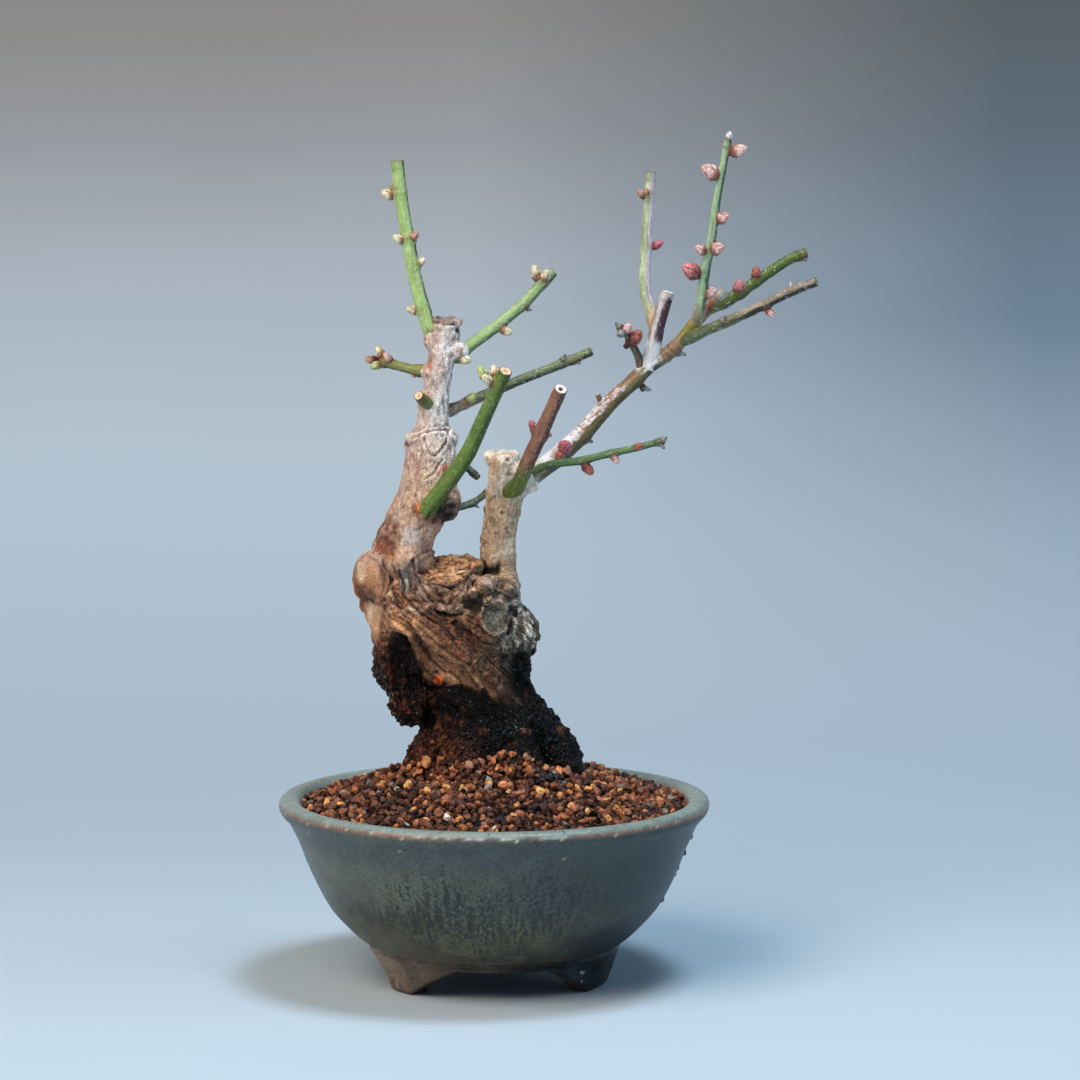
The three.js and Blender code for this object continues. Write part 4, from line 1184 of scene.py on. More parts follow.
def spot_relief(points, mark, push):
    """The smooth left knob with the strip below it, then the hollows and the swellings of the front."""
    u, v, front = mark.u, mark.v, mark.front
    calm = 0.3 * layered_noise(points, 4, 21) + 0.5 * (mark.plate_share - 0.5)
    push = mix(push, calm, 0.85 * mark.smooth)
    depth = np.zeros(len(points))
    for middle, half, amount in HOLLOWS:
        depth += amount * spot(u, v, middle, half, 0.6) * front
    push -= depth
    for middle, half, amount in SWELLINGS:
        push += amount * spot(u, v, middle, half, 0.7) * front
    mark.depth = depth + CRACK_DEPTH * mark.crack + FOLD_DEPTH * mark.folds
    return push


def pushed_out(points, normals, mark, push):
    """The points moved along their normals, the crest crumbled, and the scar a disc with a rolled rim."""
    y, z = points[:, 1], points[:, 2]
    reach = oval_reach(mark.u, mark.v, SCAR_DISC, SCAR_HALF)
    in_front = (mark.front > 0.1) * (y < 2)
    mark.scar_reach = reach
    mark.on_scar = (1 - smooth_step(0.85, 1.0, reach)) * in_front
    crest = 1 - smooth_step(198.5, 200.5, z) * smooth_step(0.3, 0.8, normals[:, 2])
    push = push * crest + (1 - crest) * (0.9 * noise(points, 1.6, 46) - 0.5)
    moved = points + normals * push[:, None]
    disc = (reach < 1) & (mark.front > 0.3) & (y < -4)
    flat = np.quantile(y[disc], 0.2) + 0.1 * (z - np.median(z[disc])) + 0.2 * noise(points, 1.2, 44)
    facing = (1 - smooth_step(0.92, 1.16, reach)) * in_front
    moved[:, 1] = mix(moved[:, 1], flat - 0.9 * bell(reach, 1.05, 0.1), facing)
    return moved


def bark_flow(points, mark):
    """Coordinates that fine cracks follow: wound round, upright on the leaders, fanned out, or plain."""
    flow = mix(mark.helix, points * UPRIGHT, mark.leader[:, None])
    fan_flow = np.column_stack([mark.fan_turn * 0.42, mark.fan_reach * 0.055, np.zeros(len(points))])
    flow = mix(flow, fan_flow, (mark.fan_mask > 0.5)[:, None] * 1.0)
    plain = mark.lower + mark.lobe + mark.top + mark.smooth + (mark.crumbly > 0.5)
    return mix(flow, points, np.clip(plain, 0, 1)[:, None])


def sculpt_trunk(points, quads):
    """Bark, folds, hollows and cut faces pushed into the even skin of the old wood."""
    normals = vertex_normals(points, quads)
    mark = trunk_zones(points, normals)
    push = bark_relief(points, mark)
    push = stump_relief(points, normals, mark, push)
    push = fold_relief(points, mark, push)
    push = spot_relief(points, mark, push)
    mark.flow = bark_flow(points, mark)
    return pushed_out(points, normals, mark, push), mark


def trunk_site(points, quads):
    """What the paint of the old wood depends on at each point."""
    x, y, z = points.T
    u, v = seen(points)
    return SimpleNamespace(
        points=points, x=x, y=y, z=z, u=u, v=v,
        front=smooth_step(-0.05, 0.35, -vertex_normals(points, quads)[:, 1]),
        drift=layered_noise(points, 12, 101),
        patch=layered_noise(points, 4.5, 111),
        fine=layered_noise(points, 1.4, 121, 2),
    )


def body_paint(site, mark):
    """Brown torn bark with its crumbly part, and the strands of the fan."""
    color = layered(
        lay(tone(104, 76, 60), tone(146, 112, 86), smooth_step(-0.2, 0.6, site.patch)),
        ((122, 70, 48), 0.6 * smooth_step(0.72, 0.95, mark.plate_share)),
        ((138, 128, 118), 0.5 * smooth_step(0.78, 0.95, mark.flake_share)),
        ((46, 32, 26), 0.75 * smooth_step(0.0, -0.5, mark.strands) * (1 - mark.fan_mask)),
        ((98, 88, 68), 0.7 * mark.crumbly * smooth_step(-0.3, 0.3, site.patch)),
        ((150, 96, 62), 0.8 * mark.crumbly * smooth_step(0.7, 0.9, mark.flake_share)),
        ((52, 38, 30), 0.7 * mark.crumbly * smooth_step(0.3, 0.1, mark.flake_share)),
    )
    strand = layered(
        lay(tone(142, 106, 80), tone(200, 158, 122), mark.fan_own),
        ((44, 30, 24), 0.75 * smooth_step(0.5, 0.15, mark.fan)),
        ((72, 48, 36), 0.35 * smooth_step(0.1, 0.5, site.patch)),
        ((166, 130, 100), 0.45 * smooth_step(0.85, 1.0, mark.fan) * smooth_step(-0.2, 0.4, site.fine)),
        ((120, 84, 62), 0.5 * smooth_step(0.55, 0.8, mark.plate_share)),
    )
    under_bowl = spot(site.u, site.v, (455, 640), (34, 18), 0.6) * site.front
    return layered(
        lay(color, strand, mark.fan_mask * 0.9),
        ((176, 134, 102), 0.8 * mark.main),
        ((88, 56, 42), 0.5 * under_bowl),
    )


def side_paint(color, site, right):
    """Dry tan bark on the left edge and its knob, and grey lichen in upright streaks on the right side."""
    left_edge = smooth_step(-28, -34, site.x) * smooth_step(102, 108, site.z)
    left_edge = left_edge * (1 - smooth_step(136, 142, site.z))
    dry = lay(tone(204, 168, 138), tone(156, 106, 78), smooth_step(-0.1, 0.5, site.patch))
    color = lay(color, dry, 0.85 * left_edge)
    grey = lay(tone(96, 92, 82), tone(52, 46, 40), smooth_step(0.0, 0.4, site.patch))
    color = lay(color, grey, 0.85 * right)
    streak = layered_noise(site.points * (1, 1, 0.22), 1.3, 141)
    white = right * smooth_step(0.12, 0.42, streak + 0.25 * site.patch) * smooth_step(96, 104, site.z)
    return lay(color, tone(214, 208, 194), 0.85 * white)


def leader_paint(site, mark):
    """The pale left leader with painted warm light on its left side, netted on its right, with a dark cut
    and small pits.
    """
    z, patch, fine = site.z, site.patch, site.fine
    line = TRUNK_LIMBS[0][0]
    aside = site.x - np.interp(z, [place[2] for place in line], [place[0] for place in line])
    net = 1 - smooth_step(0.0, 0.32, np.abs(noise(site.points * (1.1, 1.1, 0.5), 1.5, 151)))
    net_side = smooth_step(-1.5, 3.0, aside) * smooth_step(158, 168, z)
    pits = (0.5 + 0.5 * smooth_step(165, 150, z)) * smooth_step(0.92, 0.96, mark.grit_share)
    pits += 0.6 * smooth_step(0.94, 0.97, mark.flake_share) * smooth_step(166, 156, z)
    # Painted warm light on the left side of the leader.
    warm = smooth_step(1.0, -5.0, aside) * (0.35 + 0.5 * smooth_step(-0.1, 0.4, fine + 0.4 * patch))
    stained = (0.25 + 0.4 * smooth_step(160, 140, z)) * smooth_step(-0.1, -0.5, patch + 0.7 * fine)
    pale = layered(
        lay(tone(222, 192, 168), tone(232, 224, 220), smooth_step(150, 172, z + 6 * site.drift)),
        ((246, 244, 244), 0.7 * smooth_step(0.0, 0.6, patch) * smooth_step(140, 170, z)),
        ((190, 150, 124), stained),
        ((178, 132, 102), warm),
        ((96, 82, 76), 0.7 * net * net_side),
        ((150, 116, 100), 0.35 * net * (1 - net_side)),
        ((134, 98, 76), 0.6 * smooth_step(150, 132, z) * smooth_step(-0.1, 0.5, patch + fine)),
        ((110, 84, 74), 0.8 * smooth_step(199.0, 200.6, z)),
        ((122, 84, 62), 0.75 * pits),
    )
    return np.minimum(pale * (1.18, 1.15, 1.15), 0.97)


def right_trunk_paint(site, mark):
    """The tan right trunk with its dark knots and a whitish top."""
    whitish = smooth_step(147, 152, site.z + 2 * site.patch) * smooth_step(-0.5, 0.1, site.patch)
    tan = layered(
        lay(tone(200, 170, 140), tone(226, 202, 174), smooth_step(0.0, 0.5, site.patch)),
        ((128, 92, 66), 0.7 * smooth_step(0.1, 0.5, -site.fine)),
        ((52, 36, 28), bell(mark.knots, 0, 0.18) * (mark.knot_share > 0.4)),
        ((216, 204, 190), whitish),
    )
    return np.minimum(tan * 1.2, 0.97)


def wetness(site):
    """Where the wood is wet: its foot up to a wavy border, and the right side above the root."""
    wave = 1 + 1.6 * smooth_step(-2, 6, site.y)
    border = site.z + wave * (4 * site.drift + 3 * site.patch) + 1.5 * site.fine + 0.22 * (site.x + 5)
    right = smooth_step(7, 10, site.x + 2 * site.patch)
    right = right * smooth_step(104, 100, site.z + 3 * site.drift + 2 * site.patch)
    wet = np.maximum(smooth_step(92.5, 89, border), right)
    return np.maximum(wet, spot(site.u, site.v, (522, 675), (15, 24), 0.5) * site.front)


def wet_paint(color, site, mark, wet, lobe):
    """Dark wet wood, the hanging lobe and the rusty foot."""
    dark = layered(
        lay(tone(24, 17, 14), tone(7, 7, 9), smooth_step(-16, 0, site.x)),
        ((58, 36, 27), 0.6 * smooth_step(0.3, 0.65, site.patch) * smooth_step(4, -8, site.x)),
        ((84, 50, 38), 0.7 * smooth_step(0.93, 0.98, mark.lump_share)),
    )
    color = lay(color, dark, wet)
    lobe_color = layered(
        lay(tone(34, 20, 16), tone(104, 56, 38), smooth_step(0.15, 0.6, site.patch)),
        ((134, 84, 60), 0.7 * smooth_step(0.8, 0.95, mark.grit_share)),
    )
    faded = 0.5 * smooth_step(398, 380, site.u) * smooth_step(672, 650, site.v)
    color = lay(color, lobe_color, lobe * (1 - faded))
    rust = smooth_step(82, 72, site.z) * smooth_step(-2, -16, site.x)
    return layered(
        color,
        ((98, 54, 34), rust * smooth_step(-0.7, 0.2, site.patch) * 0.9),
        ((160, 94, 54), rust * smooth_step(0.86, 0.95, mark.grit_share) * 0.8),
    )


def stump_paint(color, site, mark):
    """The stump's face and rim with painted shade just under the rim, the bowl below it and the lip of the
    crack.
    """
    wood = layered(
        lay(tone(196, 142, 104), tone(226, 182, 138), smooth_step(-0.1, 0.5, site.patch)),
        ((120, 72, 50), smooth_step(0.35, 0.1, mark.crumb_share)),
        ((70, 44, 36), smooth_step(0.25, 0.7, -site.fine)),
    )
    stump_reach = oval_reach(site.u, site.v, STUMP_MIDDLE, STUMP_HALF)
    shade_under_rim = bell(stump_reach, 1.17, 0.06) * site.front * (site.z > 108) * (site.y < 4)
    return layered(
        lay(color, wood, mark.top),
        # Painted shade just under the stump's rim.
        ((46, 33, 30), 0.7 * shade_under_rim),
        ((132, 110, 108), 0.95 * mark.rim * smooth_step(460, 430, site.u)),
        ((150, 106, 74), 0.7 * mark.rim * smooth_step(445, 470, site.u)),
        ((192, 160, 134), mark.bowl * 0.75 * smooth_step(-0.5, 0.2, site.fine + site.patch)),
        ((206, 176, 148), mark.lip * 0.85 * smooth_step(-0.5, 0.1, site.fine)),
    )


def scar_paint(color, site, mark):
    """The cut scar, with a dark groove inside its pale rim."""
    scar = layered(
        lay(tone(112, 112, 98), tone(64, 62, 52), smooth_step(-0.1, 0.4, site.patch)),
        ((150, 148, 132), smooth_step(0.25, 0.6, site.fine) * 0.7),
    )
    groove = bell(mark.scar_reach, 0.92, 0.05) * site.front * (site.y < -4)
    rim = bell(mark.scar_reach, 1.04, 0.09) * site.front * (site.y < -4)
    return layered(
        lay(color, scar, mark.on_scar),
        ((40, 34, 28), 0.75 * groove),
        ((188, 174, 152), 0.9 * rim),
    )


def front_marks(color, site):
    """The coloured spots and lines of the front, among them painted shade in hollows and a painted
    highlight.
    """
    uneven = 0.85 + 0.7 * site.fine
    for middle, half, shade, amount in TRUNK_SPOTS:
        strength = amount * spot(site.u, site.v, middle, half, 0.5) * site.front * uneven
        color = lay(color, tone(*shade), strength)
    for path, width, shade, amount in TRUNK_LINES:
        distance = from_wavy_path(site.points, site.u, site.v, path, 1.5, 2.5, 23)
        color = lay(color, tone(*shade), amount * bell(distance, 0, width) * site.front * uneven)
    return color


def shaded(color, points, quads, mark, wet, lobe):
    """Painted shade in hollows, cracks and folds, darkest where they lie deepest, and ridges painted
    lighter, partly as wear and partly as painted highlight.
    """
    sharp = cavities(points, quads, 2)
    broad = cavities(points, quads, 14)
    worn = (1 - wet * 0.6) * (1 - 0.6 * lobe)
    # Painted shade in hollows, by how far they lie below their smoothed surroundings.
    shade = 1 - 0.78 * smooth_step(0.02, 0.2, sharp) - 0.5 * smooth_step(0.1, 0.7, broad)
    shade = mix(shade, 1, 0.5 * np.clip(mark.bowl + mark.smooth + 0.6 * mark.leader, 0, 1))
    color = color * np.clip(shade, 0.14, 1)[:, None]
    # Ridges painted lighter, partly as wear and partly as painted highlight.
    ridge_wear_and_highlight = 0.55 * worn * (1 - 0.6 * mark.leader) * smooth_step(0.02, 0.16, -sharp)
    color = color * (1 + ridge_wear_and_highlight + 0.2 * smooth_step(0.1, 0.6, -broad))[:, None]
    return lay(color, tone(16, 12, 11), smooth_step(0.6, 2.0, mark.depth) * 0.9)


def paint_trunk(points, quads, mark):
    """Paint of the old wood, how far its bark is torn and how far it is covered in granules."""
    site = trunk_site(points, quads)
    right = smooth_step(-2, 4, site.x) * smooth_step(94, 100, site.z) * (1 - smooth_step(120, 127, site.z))
    right = right * site.front
    color = side_paint(body_paint(site, mark), site, right)
    color = lay(color, leader_paint(site, mark), mark.leader * (site.x < -8))
    color = lay(color, right_trunk_paint(site, mark), smooth_step(118, 126, site.z) * (site.x > -8))
    warm = smooth_step(128, 122, site.z) * (1 - 0.7 * right)
    color = mix(color, color * (1.16, 1.0, 0.86), warm[:, None])
    wet = wetness(site)
    lobe = np.maximum(mark.lobe, spot(site.u, site.v, (392, 668), (20, 34)) * site.front)
    color = wet_paint(color, site, mark, wet, lobe)
    color = scar_paint(stump_paint(color, site, mark), site, mark)
    color = shaded(front_marks(color, site), points, quads, mark, wet, lobe)
    rough = 0.8 - 0.48 * wet - 0.25 * lobe + 0.1 * mark.top
    calm = 0.65 * mark.top + 0.8 * mark.leader + 0.6 * wet + 0.6 * mark.fan_mask + mark.smooth
    crackle = np.clip(1 - calm, 0, 1)
    grainy = np.clip(wet + 0.9 * lobe + 0.35 * mark.top, 0, 1)
    return colored(np.clip(color, 0.002, 1), np.clip(rough, 0.28, 0.95)), crackle, grainy


# Coloured spots and lines on the front of the old wood: place and size in pixels, colour and strength.
# Some of the spots are painted shade in hollows, and one is a painted highlight.
TRUNK_SPOTS = (
    ((371, 580), (13, 16), (194, 140, 104), 0.95),
    ((378, 600), (8, 6), (140, 94, 70), 0.8),
    ((384, 574), (5, 14), (150, 104, 80), 0.8),
    # Painted highlight along the knob's left edge.
    ((361, 572), (4, 10), (232, 200, 168), 0.9),
    ((364, 592), (6, 9), (126, 66, 46), 0.85),
    ((374, 618), (7, 20), (206, 162, 128), 0.9),
    ((370, 610), (2.4, 14), (234, 204, 174), 0.8),
    ((514, 603), (5.5, 2.2), (232, 228, 220), 1.1),
    ((405, 578), (6, 12), (158, 160, 152), 0.8),
    ((388, 548), (7, 10), (150, 70, 44), 0.7),
    ((391, 556), (3, 4), (222, 150, 84), 0.9),
    ((387, 534), (12, 18), (104, 56, 44), 0.95),
    ((381, 548), (6, 7), (150, 84, 54), 0.9),
    ((439, 680), (4.6, 4.2), (222, 92, 36), 1.0),
    ((463, 656), (3, 3), (196, 96, 46), 0.8),
    ((478, 668), (3, 3), (150, 92, 40), 0.6),
    ((466, 636), (8, 7), (118, 66, 44), 0.6),
    ((479, 622), (5, 10), (136, 84, 62), 0.8),
    ((452, 556), (18, 4), (236, 190, 140), 0.6),
    ((488, 582), (9, 9), (112, 104, 104), 0.6),
    # Black spots in the hollows right of the stump: painted shade.
    ((478, 570), (8, 5), (26, 20, 18), 0.85),
    ((494, 570), (8, 4.5), (12, 10, 10), 0.95),
    ((470, 578), (7, 9), (30, 24, 23), 0.8),
    ((484, 592), (10, 5), (34, 27, 25), 0.7),
    ((475, 603), (11, 6), (30, 26, 27), 0.85),
    ((411, 536), (9, 9), (226, 214, 208), 0.85),
    ((426, 510), (15, 10), (138, 76, 46), 0.95),
    ((419, 508), (4, 4), (206, 118, 62), 0.8),
    ((430, 520), (10, 5), (98, 56, 38), 0.8),
    ((450, 506), (15, 20), (70, 46, 36), 1.15),
    ((446, 511), (11, 12), (22, 16, 14), 1.15),
    ((446, 471), (3.2, 3.6), (138, 44, 36), 0.95),
    ((505, 464), (12, 9), (222, 214, 202), 0.75),
    ((495, 463), (4, 9), (196, 140, 98), 0.7),
    ((510, 474), (4, 2.5), (70, 60, 52), 0.8),
    ((380, 647), (7, 8), (158, 104, 82), 0.8),
    ((393, 672), (6, 9), (140, 68, 50), 0.7),
    ((505, 700), (12, 8), (24, 20, 19), 0.7),
    ((430, 366), (3, 5), (196, 108, 58), 0.8),
    ((428, 357), (5, 6), (150, 108, 84), 0.6),
    ((459, 351), (4, 4), (150, 116, 92), 0.6),
    ((458, 323), (2.4, 2.4), (240, 216, 206), 0.9),
    # A dark spot in a small hollow: painted shade.
    ((459, 330), (3, 2.6), (44, 34, 30), 0.9),
    ((438, 318), (2, 2), (30, 24, 22), 0.95),
    ((407, 444), (2, 3), (40, 32, 28), 0.9),
    ((531, 486), (3, 3), (226, 214, 200), 0.8),
    ((526, 474), (5, 5), (92, 60, 46), 0.7),
    ((526, 731), (6, 3), (110, 66, 48), 0.7),
    ((562, 729), (5, 4), (104, 66, 50), 0.7),
)
TRUNK_LINES = (
    (((430, 688), (434, 712), (440, 735), (441, 750)), 3.0, (112, 68, 46), 0.85),
    (((420, 560), (414, 575), (420, 590), (430, 602)), 1.8, (132, 116, 118), 0.8),
    (((430, 602), (446, 609), (460, 607)), 1.8, (168, 140, 118), 0.7),
    (((511, 612), (516, 622), (514, 634), (518, 646)), 1.3, (224, 218, 204), 0.9),
    (((518, 604), (524, 616), (528, 632), (526, 650)), 1.3, (206, 202, 188), 0.85),
    (((507, 640), (511, 650), (507, 660)), 1.6, (150, 144, 126), 0.7),
    (((526, 612), (531, 626), (531, 640)), 1.2, (210, 206, 192), 0.8),
    (((404, 478), (402, 500), (396, 520)), 3.0, (206, 194, 184), 0.6),
    (((404, 618), (418, 640), (436, 668)), 1.1, (60, 42, 34), 0.7),
    (((446, 628), (462, 652), (486, 690)), 1.1, (44, 30, 25), 0.8),
    (((383, 612), (380, 640), (372, 660)), 1.6, (96, 60, 44), 0.6),
    (((368, 556), (376, 562), (384, 574), (383, 592)), 1.3, (92, 58, 44), 0.8),
    (((358, 586), (366, 598), (377, 604), (384, 602)), 1.5, (78, 44, 32), 0.85),
    (((384, 604), (388, 612), (390, 622)), 1.4, (70, 44, 34), 0.8),
)


def build_trunk(material):
    shape = Shape()
    for part in (trunk_body(), *(tube_points(path, radii, 40, 1.5) for path, radii in TRUNK_LIMBS)):
        shape.add(part[0], part[1], part[2])
    ball, faces = ICO_4
    for middle, half in TRUNK_LUMPS:
        shape.add(ball * half + middle, triangles=faces)
    ball, faces = ICO_2
    for middle, half in TRUNK_NUBS:
        shape.add(ball * half + middle, triangles=faces)
    points, quads = remeshed(shape, "old_wood", TRUNK_VOXEL, SKIN_SMOOTHING)
    points = points + SKIN_SWELL * vertex_normals(points, quads)
    points, mark = sculpt_trunk(points, quads)
    paint, crackle, grainy = paint_trunk(points, quads, mark)
    skin = Shape()
    skin.add(points, quads, paint=paint)
    mesh = skin.mesh("old_trunk")
    add_vector(mesh, "flow", mark.flow)
    add_value(mesh, "crackle", crackle)
    add_value(mesh, "grainy", grainy)
    return make_piece("old_trunk", mesh, material, ["trunk"])


# Soil

def soil_height(radius):
    return mix(SOIL_TOP, SOIL_EDGE, smooth_step(SOIL_LEVEL_RADIUS, SOIL_EDGE_RADIUS, radius))


def wall_radius(height):
    levels = [p[1] for p in POT_INNER[2:8]][::-1]
    radii = [p[0] for p in POT_INNER[2:8]][::-1]
    return np.interp(height, levels, radii)


def scattered(random, gap, reach):
    """Places in a disc that keep at least gap from each other."""
    tries = random.uniform(-reach, reach, (60000, 2))
    tries = tries[np.hypot(tries[:, 0], tries[:, 1]) < reach]
    cell = gap / math.sqrt(2)
    taken = {}
    kept = []
    for place in tries:
        column, row = int(place[0] // cell), int(place[1] // cell)
        keys = ((column + i, row + j) for i in range(-2, 3) for j in range(-2, 3))
        near = [taken[key] for key in keys if key in taken]
        if all((x - place[0]) ** 2 + (y - place[1]) ** 2 > gap * gap for x, y in near):
            taken[column, row] = place
            kept.append(place)
    return np.array(kept)


def grains(random, centres, half):
    """Angular grains of clay: balls cut by random planes, stretched and turned."""
    ball, faces = ICO_2
    count = len(centres)
    shape = np.repeat(ball[None], count, axis=0)
    for _ in range(11):
        direction = unit(random.normal(size=(count, 3)))
        reach = random.uniform(0.5, 0.86, count)
        over = np.maximum(np.einsum("gvi,gi->gv", shape, direction) - reach[:, None], 0)
        shape = shape - over[..., None] * direction[:, None, :]
    shape = shape * (1 + random.uniform(-0.1, 0.1, shape.shape[:2]))[..., None]
    shape = shape * random.uniform((0.95, 0.8, 0.65), (1.4, 1.15, 0.95), (count, 3))[:, None, :]
    quarter = random.normal(size=(count, 4))
    w, x, y, z = (quarter / np.linalg.norm(quarter, axis=1, keepdims=True)).T
    turn = np.array([
        [1 - 2 * (y * y + z * z), 2 * (x * y - z * w), 2 * (x * z + y * w)],
        [2 * (x * y + z * w), 1 - 2 * (x * x + z * z), 2 * (y * z - x * w)],
        [2 * (x * z - y * w), 2 * (y * z + x * w), 1 - 2 * (x * x + y * y)],
    ]).transpose(2, 0, 1)
    shape = np.einsum("gij,gvj->gvi", turn, shape) * half[:, None, None] + centres[:, None, :]
    first = np.arange(count) * len(ball)
    return shape.reshape(-1, 3), (faces[None] + first[:, None, None]).reshape(-1, 3)


GRAIN_TONES = (
    # share up to which the tone is drawn, and the tone
    (0.3, (64, 36, 26)),
    (0.58, (108, 64, 45)),
    (0.8, (150, 94, 66)),
    (0.9, (186, 116, 74)),
    (0.95, (224, 154, 94)),
    (0.97, (140, 132, 126)),
    (0.985, (50, 44, 46)),
    (1.0, (230, 210, 188)),
)


def grain_paint(random, count, per_grain):
    draw = random.uniform(size=count)
    color = np.zeros((count, 3))
    low = 0.0
    for high, shade in GRAIN_TONES:
        color[(draw >= low) & (draw <= high)] = tone(*shade)
        low = high
    color = color * random.uniform(0.65, 1.35, (count, 1))
    paint = np.repeat(colored(color, random.uniform(0.3, 0.75, count)), per_grain, axis=0)
    paint[:, :3] *= random.uniform(0.55, 1.6, (len(paint), 1))
    return np.clip(paint, 0, 1)


def inside_tree(tree, points, room):
    """True where a point lies in the old wood or nearer to it than room."""
    found = []
    for point in points:
        place, normal, _, distance = tree.find_nearest(Vector(point * MM + POT_AXIS))
        away = Vector(point * MM + POT_AXIS) - place
        found.append(away.dot(normal) < 0 or distance < room * MM)
    return np.array(found)


# Single grains and other things on the soil: places in pixels of the photograph.
PILE_EDGE = ((402, 768), (415, 764), (430, 766), (445, 762), (462, 768), (478, 762), (490, 758),
             (505, 752), (520, 757), (535, 762), (548, 770), (565, 772), (580, 776), (592, 780))
OCHRE_GRAINS = ((426, 762), (442, 760), (469, 766), (497, 767), (503, 754), (526, 756), (511, 770),
                (529, 768), (567, 771), (478, 772), (455, 771), (432, 770), (546, 768), (415, 770),
                (588, 776), (602, 770))
PALE_GRAINS = ((458, 792), (447, 808), (413, 792), (622, 800), (520, 816))
DARK_LUMP = (548, 783)
FINE_ROOTS = (((434, 764), (440, 772), (446, 782), (452, 786)), ((428, 770), (436, 778), (434, 788)),
              ((560, 800), (568, 812), (574, 818)), ((556, 806), (560, 814), (558, 822)))


def on_soil(place):
    """The point of the soil's surface that shows at a pixel of the photograph."""
    u, v = place
    slope = (0.5 * PHOTO_SIZE - v) / FOCAL
    level = SOIL_TOP
    for _ in range(8):
        lift = level - CAMERA_TARGET[2]
        depth = (math.cos(TILT) * lift - slope * (CAMERA_DISTANCE - math.sin(TILT) * lift)) / (
            slope * math.cos(TILT) - math.sin(TILT))
        far = CAMERA_DISTANCE + math.cos(TILT) * depth - math.sin(TILT) * lift
        across = CAMERA_TARGET[0] + (u - 0.5 * PHOTO_SIZE) * far / FOCAL
        level = soil_height(min(math.hypot(across, depth), SOIL_EDGE_RADIUS))
    return np.array([across, depth, level])


def on_trunk(tree, place):
    """The point of the old wood that shows at a pixel of the photograph, or None."""
    u, v = place
    back = np.array([0, -math.cos(TILT), math.sin(TILT)])
    up = np.array([0, math.sin(TILT), math.cos(TILT)])
    eye = np.array(CAMERA_TARGET) + back * CAMERA_DISTANCE
    ray = unit(-back * FOCAL + np.array([u - 0.5 * PHOTO_SIZE, 0, 0]) + up * (0.5 * PHOTO_SIZE - v))
    hit, _, _, _ = tree.ray_cast(Vector(eye * MM + POT_AXIS), Vector(ray))
    return None if hit is None else (np.array(hit) - POT_AXIS) / MM - ray * 0.7


def add_pile(shape, tree):
    """Grains heaped against the front of the trunk's foot, up to an uneven edge."""
    random = np.random.default_rng(5150)
    centres = []
    for u in np.arange(402, 592, 6.2):
        top = np.interp(u, [edge[0] for edge in PILE_EDGE], [edge[1] for edge in PILE_EDGE])
        for v in np.arange(top, 800, 5.2):
            hit = on_trunk(tree, (u + random.uniform(-2, 2), v + random.uniform(-1.5, 2.5)))
            if hit is not None and hit[2] < 82:
                centres.append(hit)
    centres = np.array(centres)
    half = random.uniform(0.95, 1.6, len(centres))
    made, triangles = grains(random, centres, half)
    shape.add(made, triangles=triangles, paint=grain_paint(random, len(centres), len(made) // len(centres)))


def add_soil_extras(shape, tree):
    """Ochre and pale grains round the foot of the trunk, a dark fibrous lump and some fine roots."""
    add_pile(shape, tree)
    random = np.random.default_rng(77)
    for places, shades, half in ((OCHRE_GRAINS, ((214, 148, 96), (190, 122, 76), (176, 128, 100)), 1.5),
                                 (PALE_GRAINS, ((222, 208, 196), (150, 146, 142)), 1.25)):
        for i, place in enumerate(places):
            hit = on_trunk(tree, place)
            centre = on_soil(place) + (0, 0, 0.9) if hit is None else hit
            made, triangles = grains(random, centre[None], np.array([half * random.uniform(0.8, 1.15)]))
            shade = tone(*shades[i % len(shades)]) * random.uniform(0.85, 1.1)
            shape.add(made, triangles=triangles, paint=colored(np.tile(shade, (len(made), 1)), 0.6))
    lump = on_soil(DARK_LUMP) + (0, 0, 0.6)
    count = 90
    offsets = unit(random.normal(size=(count, 3))) * (3.3, 2.8, 2.5)
    made, triangles = grains(random, lump + offsets, random.uniform(0.5, 1.0, count))
    shape.add(made, triangles=triangles, paint=even_paint(made, (26, 27, 31), 0.4))
    ball, faces = ICO_2
    shape.add(ball * (3.0, 2.5, 2.3) + lump, triangles=faces, paint=even_paint(ball, (12, 11, 12), 0.6))
    for path in FINE_ROOTS:
        line = [tuple(on_soil(place) + (0, 0, 1.4)) for place in path]
        made, quads, triangles = tube_points(line, [0.36] * len(line), 8, 0.5)
        shape.add(made, quads, triangles, even_paint(made, (104, 54, 40), 0.6))


MOUND_SIDES = 120
MOUND_SINK = 1.9
MOUND_FLOOR = 17

GRAIN_LAYERS = (
    # name, gap between grains, how far they sink, smallest and largest half size
    ("soil_lower_grains", 2.5, 1.5, 1.1, 1.5),
    ("soil_upper_grains", GRAIN_GAP, 0.1, 0.9, 1.6),
)


def level_ring(radius, height):
    """A ring of points round the pot's axis."""
    angle = np.linspace(0, 2 * math.pi, MOUND_SIDES, endpoint=False)
    return np.stack([radius * np.cos(angle), radius * np.sin(angle), np.full(MOUND_SIDES, height)], axis=1)


